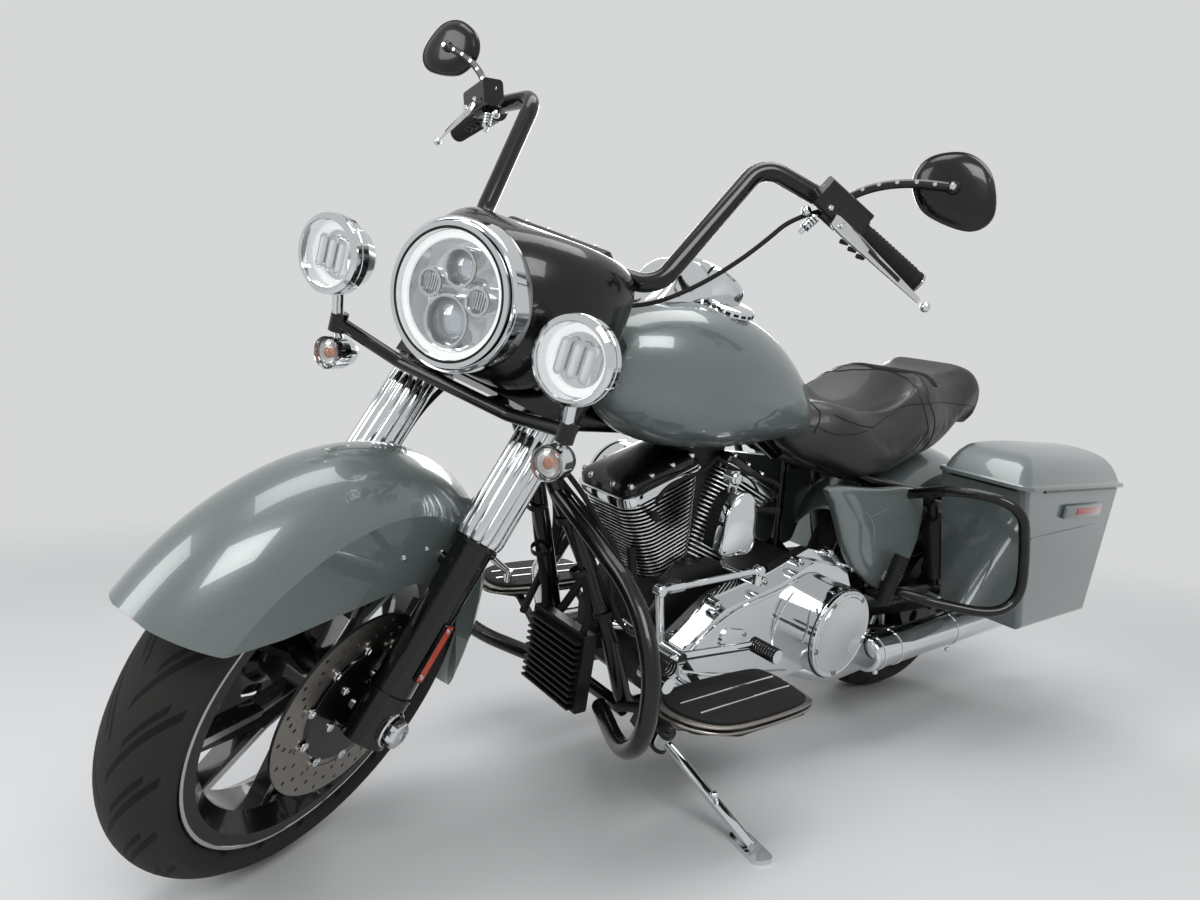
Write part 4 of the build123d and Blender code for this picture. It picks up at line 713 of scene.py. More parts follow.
def stacked(
    outline: Sequence[Pair], rows: Sequence[Tuple[float, float, float, float, float]],
    smooth: int = 0, wall: float = 0.0,
) -> Object:
    """Grows an outline about the origin upward, each level with its own size and middle.

    Args:
        outline: corners in the local XY plane.
        rows: height, share along X, share along Y and the middle's x and y.
        smooth: subdivision levels.
        wall: wall of a shell that is open below; 0 makes the piece solid.

    Returns:
        The piece.
    """
    z, share_x, share_y, at_x, at_y = rows[0]
    piece = chain([(at_x + x * share_x, at_y + y * share_y, z) for x, y in outline], close=True)
    for low, high in zip(rows, rows[1:]):
        step = Vector((high[3] - low[3], high[4] - low[4], high[0] - low[0])) * MM
        extrude(step)
        bpy.ops.transform.resize(
            value=(high[1] / low[1], high[2] / low[2], 1),
            center_override=(high[3] * MM, high[4] * MM, high[0] * MM))
    bpy.ops.mesh.edge_face_add()
    select_every()
    if not wall:
        bpy.ops.mesh.fill_holes(sides=0)
    bpy.ops.mesh.normals_make_consistent(inside=False)
    mode("OBJECT")
    if wall:
        modify(piece, "SOLIDIFY", thickness=wall * MM, offset=-1.0)
    if smooth:
        modify(piece, "SUBSURF", levels=smooth, render_levels=smooth)
    return piece


def band(half_x: float, half_y: float, corner: float, height: float, wall: float) -> Object:
    """Makes a rounded rectangular band around the local Z axis.

    Args:
        half_x: half its length.
        half_y: half its width.
        corner: radius of its corners.
        height: how tall it is.
        wall: its thickness, inward.

    Returns:
        The band.
    """
    select_none()
    bpy.ops.mesh.primitive_plane_add(size=2.0, location=(0, 0, 0))
    piece = bpy.context.object
    piece.scale = (half_x * MM, half_y * MM, 1)
    bpy.ops.object.transform_apply(scale=True)
    mode("EDIT")
    select_every()
    bpy.ops.mesh.bevel(offset=corner * MM, segments=6, affect="VERTICES")
    select_every()
    bpy.ops.mesh.delete(type="ONLY_FACE")
    select_every()
    extrude((0, 0, height * MM))
    select_every()
    bpy.ops.mesh.normals_make_consistent(inside=False)
    mode("OBJECT")
    modify(piece, "SOLIDIFY", thickness=wall * MM, offset=-1.0)
    return piece


def spread(piece: Object, spots: Sequence[Matrix]) -> Object:
    """Copies a piece to several places, in metres, and joins the copies.

    Args:
        piece: what to copy; it is used up.
        spots: the place of each copy.

    Returns:
        One object.
    """
    made = []
    for place in spots:
        select_only(piece)
        bpy.ops.object.duplicate()
        copy = bpy.context.object
        copy.matrix_world = place @ piece.matrix_world
        select_only(copy)
        bpy.ops.object.transform_apply(location=True, rotation=True, scale=True)
        made.append(copy)
    bpy.data.objects.remove(piece, do_unlink=True)
    return joined(made)


def joined(pieces: Sequence[Object]) -> Object:
    """Joins pieces into the first one."""
    select_only(*pieces)
    if len(pieces) > 1:
        bpy.ops.object.join()
    return bpy.context.object


def screw_head(radius: float, height: float) -> Object:
    """Makes a domed screw head with a socket, standing on the local XY plane."""
    return turned([
        (-1.0, radius), (height * 0.7, radius), (height, radius * 0.78), (height, radius * 0.42),
        (height * 0.5, radius * 0.4),
    ], 14)


def spot(x: float, y: float, z: float = 0.0, turn: float = 0.0) -> Matrix:
    """Returns a place in millimetres, turned about the local Z axis by some degrees."""
    return Matrix.Translation(Vector((x, y, z)) * MM) @ Matrix.Rotation(radians(turn), 4, "Z")


def facing(at: Point, axis: Point) -> Matrix:
    """Returns a place in millimetres whose Z axis points along another."""
    turn = Vector((0, 0, 1)).rotation_difference(Vector(axis).normalized()).to_matrix().to_4x4()
    return Matrix.Translation(Vector(at) * MM) @ turn


def put(piece: Object, at: Point, axis: Point) -> Object:
    """Moves a piece to a place in millimetres, with its Z axis along another."""
    return spread(piece, [facing(at, axis)])


@dataclass(frozen=True)
class Tread:
    """Road tyre rubber with swept grooves and short sipes cut into the crown, with painted shade in them.

    Attributes:
        name: the material's name.
        place: the wheel's frame, Z along the axle.
        half: half the tyre's width.
        pitches: grooves around each side.
    """

    name: str
    place: Place
    half: float
    pitches: float = 20.0

    def build(self) -> Material:
        """Returns the finished material."""
        material, tree, world = empty(self.name)
        where, turn, _ = self.place.matrix().decompose()
        local = node(
            tree, "ShaderNodeMapping", {"Vector": world}, vector_type="TEXTURE", Location=where,
            Rotation=turn.to_euler(),
        )
        x, y, z = node(tree, "ShaderNodeSeparateXYZ", {0: local.outputs[0]}).outputs
        around = maths(tree, "MULTIPLY", maths(tree, "ARCTAN2", y, x), self.pitches / tau)
        across = maths(tree, "DIVIDE", z, self.half * MM)
        out = maths(tree, "ABSOLUTE", across)
        side = maths(tree, "MULTIPLY", maths(tree, "SIGN", across), 0.25)
        # a groove sweeps back by a pitch and a half from the middle to the shoulder
        sweep = maths(tree, "MULTIPLY", maths(tree, "POWER", out, 0.7), 1.5)
        cuts = []
        # where each groove starts in its pitch, its width, and its two ends across the tread
        for shift, width, start, stop in ((side, 0.085, 0.07, 0.9), (0.5, 0.07, 0.22, 0.7)):
            phase = maths(
                tree, "FRACT", maths(tree, "ADD", maths(tree, "ADD", around, sweep), shift))
            gap = maths(tree, "ABSOLUTE", maths(tree, "SUBTRACT", phase, 0.5))
            cuts.append(self._window(tree, gap, out, width, start, stop))
        cut = maths(tree, "MAXIMUM", *cuts)
        grain = maths(tree, "MULTIPLY", noise(tree, world, 900.0, 3.0), 0.03)
        # the grooves and sipes are painted near black: painted shade in grooves that exist only as a bump
        surface(
            tree, Base_Color=ramp(tree, cut, [(0.0, "242422"), (1.0, "030303")]),
            Normal=bumped(tree, maths(tree, "SUBTRACT", grain, cut), 1.0, 0.0045),
            Roughness=0.8, Specular_IOR_Level=0.3,
        )
        return material

    @staticmethod
    def _window(
        tree: NodeTree, gap: NodeSocket, out: NodeSocket, width: float, start: float, stop: float,
    ) -> NodeSocket:
        """Marks the inside of a groove.

        Args:
            tree: the node tree.
            gap: distance from the groove's middle, in pitches.
            out: distance from the middle of the tread, as a share of half its width.
            width: half the groove's width, in pitches.
            start: where the groove starts across the tread.
            stop: where it ends.

        Returns:
            1 inside the groove and 0 outside it.
        """
        thin = maths(tree, "LESS_THAN", gap, width)
        after = maths(tree, "GREATER_THAN", out, start)
        before = maths(tree, "LESS_THAN", out, stop)
        return maths(tree, "MULTIPLY", thin, maths(tree, "MULTIPLY", after, before))


# ---- wheels ----
@dataclass
class Wheel:
    """The bright trim of one cast wheel, and its tyre's tread.

    Attributes:
        name: the wheel's name.
        body: the body that turns.
        hub: its centre.
        bead: radius of the rim's bead seat.
        width: width of the rim.
        tyre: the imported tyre.
        half: half the tyre's width.
        discs: left face of each brake disc that shows bolts.
    """

    name: str
    body: Body
    hub: Point
    bead: float
    width: float
    tyre: str
    half: float
    discs: Sequence[float]

    def place(self) -> Place:
        """Returns the wheel's frame: Z along the axle to the left."""
        return Place(self.body, self.hub, (0, 1, 0), (1, 0, 0))

    def build(self) -> None:
        """Makes the lips, the spoke edges and the bolts."""
        self._lips()
        self._spokes()
        self._bolts()
        self._tread()

    def _lips(self) -> None:
        """Adds the machined ring on each rim lip."""
        lip = self.bead + 15
        side = self.width / 2
        rings = []
        for z in (side, -side - 0.9):
            rings.append(ring_of([
                (z, lip - 6), (z + 0.9, lip - 5.4), (z + 0.9, lip - 0.8), (z, lip - 0.2),
            ], 96))
        self.place().settle(rings, self.name + "_lips", Finish.POLISH)

    def _spokes(self) -> None:
        """Adds the machined edge on both faces of every spoke prong."""
        inner = self.bead - 30
        fork = 0.46 * inner
        plates = []
        for sign in (1, -1):
            for z in (15.0, -15.8):
                outline = [
                    (fork, sign * 21.6), (inner + 3, sign * 60.4), (inner + 3, sign * 47.5),
                    (fork + 6, sign * 13.5),
                ]
                plates.append(bulged(outline, [(z, 1.0), (z + 0.8, 1.0)]))
            outline = [
                (40, sign * 16.6), (fork, sign * 21.6), (fork + 2, sign * 16.8), (40, sign * 12.4)]
            plates.append(bulged(outline, [(15.0, 1.0), (15.8, 1.0)]))
        spoke = joined(plates)
        star = spread(spoke, [spot(0, 0, 0, -(72 * turn + 54)) for turn in range(5)])
        self.place().settle(star, self.name + "_spoke_edges", Finish.CUT)

    def _bolts(self) -> None:
        """Adds the disc bolts and the bobbins between carrier and band."""
        bolts, carriers = [], []
        for y in self.discs:
            out = 1 if y > 0 else -1
            carriers.append(ring_of([
                (y, 38), (y + out * 0.9, 38.6), (y + out * 0.9, 90.4), (y, 91),
            ], 96))
            spots = [
                facing((cos(a) * 50, sin(a) * 50, y), (0, 0, out))
                for a in (radians(72 * k + 20) for k in range(5))
            ]
            bolts.append(spread(screw_head(7.0, 5.0), spots))
            spots = [
                facing((cos(a) * 95, sin(a) * 95, y), (0, 0, out))
                for a in (radians(36 * k + 18) for k in range(10))
            ]
            bobbin = turned([(0, 7.6), (1.2, 7.6), (1.8, 7), (1.8, 4.4), (0.3, 4.2)], 24)
            bolts.append(spread(bobbin, spots))
        self.place().settle(bolts, self.name + "_bolts", Finish.CHROME)
        self.place().settle(carriers, self.name + "_disc_carriers", Finish.BLACK)

    def _tread(self) -> None:
        """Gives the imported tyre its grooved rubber."""
        material = Tread(self.name + "_tread", self.place(), self.half).build()
        tyre = frame["nodes"][self.tyre]
        tyre.data.materials.clear()
        tyre.data.materials.append(material)


# ---- lamps ----
@dataclass
class Headlamp:
    """The round lamp's light guide, projectors and reflectors, and its outer trim.

    Attributes:
        centre: middle of the lamp's face.
        glass: radius of the glass.
        bowls: across, up and radius of each bowl.
    """

    centre: Point = (1530.0, 0.0, 932.0)
    glass: float = 94.0
    bowls: Sequence[Tuple[float, float, float]] = (
        (0, 42, 30), (0, -38, 40), (44, 6, 22), (-44, 6, 22))

    def place(self) -> Place:
        """Returns the lamp's frame: Z forward, X to the left, Y up."""
        return Place(Body.STEERING, self.centre, (1, 0, 0), (0, 1, 0))

    def build(self) -> None:
        """Makes the inside of the lamp and its trim."""
        place = self.place()
        halo = ring_of([
            (-8, self.glass - 13), (-4.5, self.glass - 12), (-4.5, self.glass - 2),
            (-8, self.glass - 1),
        ], 96)
        place.settle(halo, "headlamp_halo", Finish.GLOW)
        chips, domes, rims, ribs = [], [], [], []
        for x, y, radius in self.bowls:
            deep = radius - 6
            rims.append(self._at(ring_of([
                (-8.2, radius - 5.4), (-5, radius - 5), (-5, radius - 1), (-8.2, radius - 0.4),
            ], 48), x, y))
            small = radius < 25
            wide, narrow = (0.9, 0.8) if small else (0.5, 0.42)
            chip = turned([(-25.5, deep * wide), (-24, deep * narrow), (-23.6, 0.5)], 24)
            chips.append(self._at(chip, x, y))
            if small:
                ribs.append(self._at(spread(
                    block((3, 2 * deep - 4, 10), 1.2, (0, 0, -19)),
                    [spot(dx, 0) for dx in (-9, -4.5, 0, 4.5, 9)]), x, y))
            else:
                dome = [
                    (-24 + 17 * sin(t * pi / 16), deep * cos(t * pi / 16) + 0.3) for t in range(9)
                ]
                domes.append(self._at(turned(dome, 48), x, y))
        place.settle(rims, "headlamp_bowl_rims", Finish.CHROME)
        place.settle(ribs, "headlamp_side_ribs", Finish.CHROME)
        # the chips glow faintly: painted light that brightens the projector domes
        place.settle(chips, "headlamp_chips", Finish.CHIP)
        place.settle(domes, "headlamp_projectors", Finish.PROJECTOR)
        seal = ring_of([
            (5.8, self.glass - 1), (7.4, self.glass), (7.4, self.glass + 2.4),
            (5.8, self.glass + 3.2),
        ], 96)
        place.settle(seal, "headlamp_seal", Finish.RUBBER)
        bead = ring_of([
            (-7, 104.2), (-1.5, 107), (-0.5, 109.5), (-3, 111.6), (-8, 112.2), (-8, 104.2),
        ], 96)
        place.settle(bead, "headlamp_trim_bead", Finish.CHROME)
        screw = put(screw_head(4.2, 3.4), (0, -111.5, -26), (0, -1, 0))
        place.settle(screw, "headlamp_trim_screw", Finish.CHROME)

    @staticmethod
    def _at(piece: Object, x: float, y: float) -> Object:
        """Moves a piece across the lamp's face."""
        return spread(piece, [spot(x, y)])


@dataclass
class AuxLamp:
    """One auxiliary lamp: light guide, three bowls with a faint painted glow, and the bullet signal under it.

    Attributes:
        side: 1 for the left lamp, -1 for the right.
        centre: the left lamp's centre.
        signal: the left signal's centre.
    """

    side: int
    centre: Point = (1533.0, 226.0, 920.0)
    signal: Point = (1499.0, 220.0, 761.0)

    def build(self) -> None:
        """Makes the lamp's inside, its trim and the signal's bulb."""
        tag = "left" if self.side > 0 else "right"
        x, y, z = self.centre
        place = Place(Body.STEERING, (x, self.side * y, z), (1, 0, 0), (0, 1, 0))
        halo = ring_of([(-9.8, 38), (-5, 39), (-5, 49.4), (-9.8, 50.2)], 64)
        place.settle(halo, tag + "_aux_halo", Finish.GLOW)
        bars, rims = [], []
        for dx in (-20, 0, 20):
            bars.append(block((10, 44, 9), 4.4, (dx, 0, 4.4)))
            rims.append(spread(band(8.2, 27, 8, 5, 1.6), [spot(dx, 0, 0.5)]))
        # the bars glow faintly: painted light that makes the bowls look bright
        place.settle(bars, tag + "_aux_bars", Finish.CHIP)
        place.settle(rims, tag + "_aux_bar_rims", Finish.CHROME)
        trim = ring_of([
            (11, 61.4), (13.5, 61), (17.2, 56), (17.2, 52.5), (15.6, 51.6),
        ], 72)
        place.settle(trim, tag + "_aux_trim", Finish.CHROME)
        clamp = ring_of([
            (-2, 61.2), (-1, 62.2), (1.5, 62.2), (2.5, 61.2),
        ], 72)
        place.settle(clamp, tag + "_aux_clamp_ring", Finish.CHROME)
        x, y, z = self.signal
        place = Place(Body.STEERING, (x, self.side * y, z), (1, 0, 0), (0, 1, 0))
        dish = turned([(4, 22), (5.4, 20), (4.6, 12), (4.4, 1)], 32)
        place.settle(dish, tag + "_signal_dish", Finish.POLISH, slot="chrome")
        bulb = turned([(4.2, 9.5), (8, 9), (10.4, 6.4), (11.6, 0.5)], 24)
        place.settle(bulb, tag + "_signal_bulb", Finish.AMBER)
        lens = turned([(5, 23.4), (9, 21), (12.4, 14), (13.8, 7), (14, 0.5)], 32)
        place.settle(lens, tag + "_signal_lens", Finish.LENS)
        visor = ring_of([(3, 24.6), (9, 24.4), (12.5, 26.6), (9, 27.2), (3, 27.2)], 48)
        place.settle(visor, tag + "_signal_rim", Finish.CHROME)


# ---- cords ----
@dataclass
class Cord:
    """A cable or hose that hangs free between its two ends on the machine.

    Attributes:
        name: the piece's name.
        place: the frame that its route is given in.
        route: its control points, in millimetres.
        diameter: of its sheath, in millimetres.
        length: its real length, in millimetres.
        replaces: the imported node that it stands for.
    """

    name: str
    place: Place
    route: Sequence[Point]
    diameter: float
    length: float
    replaces: Sequence[str] = ()

    def build(self) -> None:
        """Makes the cord and says what it is."""
        matrix = self.place.matrix()
        way = [matrix @ point for point in scaled(self.route)]
        curve = bpy.data.curves.new(self.name, "CURVE")
        curve.dimensions = "3D"
        spline = curve.splines.new("NURBS")
        spline.points.add(len(way) - 1)
        for point, stop in zip(spline.points, way):
            point.co = (*stop, 1.0)
        spline.order_u = 3
        spline.use_endpoint_u = True
        spline.resolution_u = 10
        curve.bevel_depth = self.diameter / 2 * MM
        curve.bevel_resolution = 4
        curve.use_fill_caps = True
        curve.materials.append(Finish.RUBBER.material())
        piece = bpy.data.objects.new(self.name, curve)
        bpy.context.collection.objects.link(piece)
        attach(piece, self.place.body.value)
        if self.replaces:
            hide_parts(*self.replaces)
        LOG.info("%s: %.0f mm long", self.name, self.length)


# ---- controls and mirrors ----
def smooth_loop(corners: Sequence[Sequence[float]], steps: int = 6) -> List[Tuple[float, ...]]:
    """Rounds a closed outline with a curve through its corners.

    Args:
        corners: the corners in order.
        steps: points from one corner to the next.

    Returns:
        The points of the curve.
    """
    made = []
    count = len(corners)
    for index in range(count):
        a, b, c, d = (corners[(index + k) % count] for k in (-1, 0, 1, 2))
        for step in range(steps):
            t = step / steps
            made.append(tuple(
                0.5 * (
                    2 * q + (r - p) * t + (2 * p - 5 * q + 4 * r - s) * t * t
                    + (3 * q - p - 3 * r + s) * t ** 3)
                for p, q, r, s in zip(a, b, c, d)
            ))
    return made


def rounded_box(half_x: float, half_y: float, corner: float, steps: int = 5) -> List[Pair]:
    """Returns the outline of a rectangle with rounded corners."""
    made = []
    for turn, (sx, sy) in enumerate(((1, 1), (-1, 1), (-1, -1), (1, -1))):
        for step in range(steps + 1):
            angle = radians(90 * turn + 90 * step / steps)
            made.append((
                sx * (half_x - corner) + corner * cos(angle),
                sy * (half_y - corner) + corner * sin(angle),
            ))
    return made


def mirrored(points: Sequence[Sequence[float]], side: int) -> List[Point]:
    """Returns points of the left side, or their mirror images on the right."""
    return [(x, side * y, z) for x, y, z in points]


def ball(radius: float, at: Point) -> Object:
    """Makes a round ball at a place."""
    rows = [
        (radius * sin(a * pi / 24), max(0.2, radius * cos(a * pi / 24))) for a in range(-12, 13)]
    return spread(turned(rows, 28), [spot(*at)])


@dataclass
class Mirrors:
    """The two teardrop mirrors on their curved, drilled arms.

    Attributes:
        centre: middle of the left mirror.
        edge: across and up, the mirror's outline.
        arm: centre line of its arm.
    """

    centre: Point = (1030.0, 530.0, 1316.0)
    edge: Sequence[Pair] = (
        (-70, 10), (-52, 42), (-4, 58), (42, 38), (72, -20), (48, -54), (-22, -50), (-58, -24),
    )
    arm: Sequence[Point] = (
        (1072, 366, 1236), (1062, 392, 1268), (1054, 430, 1294), (1046, 480, 1310),
        (1040, 528, 1316),
    )

    def build(self) -> None:
        """Makes both mirrors."""
        shells, glasses, arms, studs = [], [], [], []
        for side in (1, -1):
            at = facing((self.centre[0], side * self.centre[1], self.centre[2]), (1, 0, 0))
            turn = Matrix.Rotation(radians(90), 4, "Z")
            edge = smooth_loop([(side * y, z) for y, z in self.edge])
            rows = [
                (-12.4, 0.93), (-13.6, 0.96), (-12, 0.995), (-8, 1.0), (-5, 0.985), (-3.4, 0.93),
                (-3.2, 0.9),
                (-1.6, 0.87), (2.4, 0.76), (5.2, 0.6), (7, 0.4), (7.8, 0.2), (8, 0.04),
            ]
            shells.append(spread(bulged(edge, rows), [at @ turn]))
            glasses.append(spread(bulged(edge, [(-12.9, 0.95), (-12.2, 0.95)]), [at @ turn]))
            line = mirrored(self.arm, side)
            arms.append(pipe(line, 7.4))
            arms.append(ball(11, (1040, side * 528, 1316)))
            for share in (0.3, 0.44, 0.58, 0.72, 0.86):
                studs.append(put(
                    turned([(0, 3.2), (0.8, 3.2), (0.9, 0.4)], 16),
                    self._along(line, share, 7.0), (1, 0, 0.1)))
            studs.append(put(screw_head(5, 4), (1050, side * 528, 1316), (1, 0, 0)))
        place = Place(Body.STEERING)
        place.settle(shells, "mirror_shells", Finish.BLACK, replaces=["mirrors"])
        place.settle(glasses, "mirror_glasses", Finish.MIRROR)
        place.settle(arms, "mirror_arms", Finish.BLACK)
        place.settle(studs, "mirror_arm_studs", Finish.CHROME)

    @staticmethod
    def _along(line: Sequence[Point], share: float, forward: float) -> Point:
        """Returns a point some share of the way along the arm, on its front face."""
        reach = share * (len(line) - 1)
        index = min(int(reach), len(line) - 2)
        t = reach - index
        a, b = line[index], line[index + 1]
        return (
            a[0] + (b[0] - a[0]) * t + forward, a[1] + (b[1] - a[1]) * t, a[2] + (b[2] - a[2]) * t)


@dataclass
class HandControls:
    """Levers, grip ribs and the small fittings of the two hand controls.

    Attributes:
        grip: where the left grip's line starts.
        grip_line: its direction.
        root: foot of the left lever.
        tip: its ball end.
    """

    grip: Point = (1050.0, 341.0, 1242.0)
    grip_line: Point = (-0.484, 0.805, -0.344)
    root: Point = (1092.0, 392.0, 1208.0)
    tip: Point = (963.0, 558.0, 1130.0)

    def build(self) -> None:
        """Makes the pieces of both sides."""
        blades, ribs, bright, dark = [], [], [], []
        for side in (1, -1):
            root, tip, line, start = (
                Vector(mirrored([point], side)[0])
                for point in (self.root, self.tip, self.grip_line, self.grip))
            run = tip - root
            at = Place(Body.STEERING, tuple(root), tuple(run), (1.0, 0.0, 0.6)).matrix()
            at = PLACE[Body.STEERING].inverted() @ at
            outline = rounded_box(5.2, 13.5, 4.4)
            rows = [
                (-16, 0.72), (-10, 0.95), (14, 1.0), (50, 0.9), (70, 0.8), (120, 0.66), (170, 0.5),
                (206, 0.4)]
            blades.append(spread(bulged(outline, rows), [at]))
            blades.append(ball(9, tuple(tip)))
            groove = block((1.6, 8, 84), 0.7, (5.0, 0, 108))
            dark.append(spread(groove, [at @ spot(-1.6, 0)]))
            ring = ring_of([(-1.6, 18.8), (-1, 19.9), (1, 19.9), (1.6, 18.8)], 36)
            ribs.append(
                spread(
                    ring,
                    [facing(tuple(start + line * d), tuple(line)) for d in range(104, 216, 8)]))
            cap = turned([(222, 18.8), (228, 20.4), (231, 19), (232, 8), (231, 2)], 36)
            bright.append(put(cap, tuple(start), tuple(line)))
            for x, y, z in ((1116, 372, 1232), (1106, 398, 1212), (1096, 346, 1262)):
                bright.append(put(screw_head(4.6, 3.6), (x - 8, side * y, z - 4), (0.9, 0, 0.3)))
            bright.append(ball(8.5, (1088, side * 330, 1214)))
            barrel = turned(
                [(k * 3, 7.6 if k % 2 else 8.8) for k in range(9)] + [(27, 5.0), (36, 4.6)], 24)
            bright.append(put(barrel, (1086, side * 348, 1208), (0.35, -side * 0.35, -0.85)))
            for k in range(3):
                button = block((9, 16, 8), 2.5, (1044 - 8 * k, side * (400 + 16 * k), 1187 - 7 * k))
                dark.append(button)
        place = Place(Body.STEERING)
        place.settle(blades, "lever_blades", Finish.POLISH, replaces=["levers"])
        place.settle(ribs, "grip_ribs", Finish.RUBBER)
        place.settle(bright, "control_fittings", Finish.CHROME)
        place.settle(dark, "control_buttons", Finish.SATIN)


# ---- fork ----
@dataclass
class Fork:
    """Fluted bright covers, pinch bolts, caliper bolts, hoses and reflector bezels.

    Attributes:
        hub: front axle.
        lean: degrees that the legs lean back.
        leg_y: distance of a leg from the middle.
        cover: bottom and top of the covers along the leg.
        cover_r: their radius.
        flutes: ridges around a cover.
    """

    hub: Point = (1625.0, 0.0, 319.0)
    lean: float = 29.25
    leg_y: float = 132.0
    cover: Pair = (298.0, 508.0)
    cover_r: float = 40.0
    flutes: int = 12

    def place(self) -> Place:
        """Returns the frame of the fork's middle plane: Z along the legs, X forward."""
        lean = radians(self.lean)
        return Place(Body.STEERING, self.hub, (-sin(lean), 0, cos(lean)))

    def build(self) -> None:
        """Makes the pieces of both legs."""
        place = self.place()
        low, high = self.cover
        outline = []
        for step in range(self.flutes * 10):
            angle = tau * step / (self.flutes * 10)
            ridge = abs(sin(self.flutes * angle / 2))
            radius = self.cover_r - 4.2 + 4.2 * ridge ** 0.7
            outline.append((radius * cos(angle), radius * sin(angle)))
        rows = [
            (low, 0.86), (low + 3, 0.93), (low + 9, 0.98), (low + 16, 1.0), (high - 6, 1.0),
            (high, 0.97)]
        cover = bulged(outline, rows)
        covers = spread(cover, [spot(0, side * self.leg_y) for side in (1, -1)])
        place.settle(covers, "fork_cover_flutes", Finish.CHROME, 50, ["fork_covers"])
        rings = []
        for side in (1, -1):
            for z, radius, tall in ((low - 7, 36.5, 7), (high - 1, 41.5, 6), (40, 36, 5)):
                ring = ring_of([
                    (z, radius - 3), (z + 0.6, radius), (z + tall - 0.6, radius),
                    (z + tall, radius - 3),
                ], 64)
                rings.append(spread(ring, [spot(0, side * self.leg_y)]))
        place.settle(rings, "fork_rings", Finish.BLACK)
        bolts = []
        for side in (1, -1):
            for x, y, z, axis in ((-66, 115, 90, (0, 1, 0)), (-66, 115, 148, (0, 1, 0))):
                bolts.append(
                    put(
                        screw_head(7, 6), (x, side * (y - 1), z),
                        (axis[0], side * axis[1], axis[2])))
            for s in (86, 162):
                bolts.append(put(screw_head(4.4, 1.2), (0, side * 167, s), (0, side, 0)))
        place.settle(bolts, "fork_bolts", Finish.CHROME)
        nuts = []
        for side in (1, -1):
            nut = turned([
                (166, 21), (172, 22.5), (180, 22.5), (186, 19), (188, 14), (188, 9), (184, 8.4),
            ], 6)
            nuts.append(put(nut, (0, 0, 0), (0, side, 0)))
            collar = ring_of([(164.5, 27), (168, 27), (170, 25)], 40)
            nuts.append(put(collar, (0, 0, 0), (0, side, 0)))
        place.settle(nuts, "axle_nuts", Finish.CHROME)
        bezels = []
        for side in (1, -1):
            frame_band = band(12.6, 47.6, 5, 5.2, 1.8)
            turn = Matrix.Rotation(radians(90), 4, "X")
            y = 167.6 if side > 0 else -162.4
            bezels.append(spread(frame_band, [spot(0, y, 124) @ turn]))
        place.settle(bezels, "fork_reflector_bezels", Finish.BLACK)
        sleeves = [
            pipe([(-74, side * 88, 156), (-74, side * 88, 168), (-74, side * 88, 182)], 7.5, 2)
            for side in (1, -1)
        ]
        place.settle(sleeves, "brake_hose_sleeves", Finish.RUBBER)
        for side, tag in ((1, "left"), (-1, "right")):
            Cord(tag + "_brake_hose", place, [
                (-74, side * 88, 168), (-81, side * 89, 200), (-76, side * 102, 250),
                (-50, side * 122, 330),
                (-48, side * 122, 430), (-50, side * 112, 490), (-52, side * 100, 524),
            ], 10.0, 366.0).build()


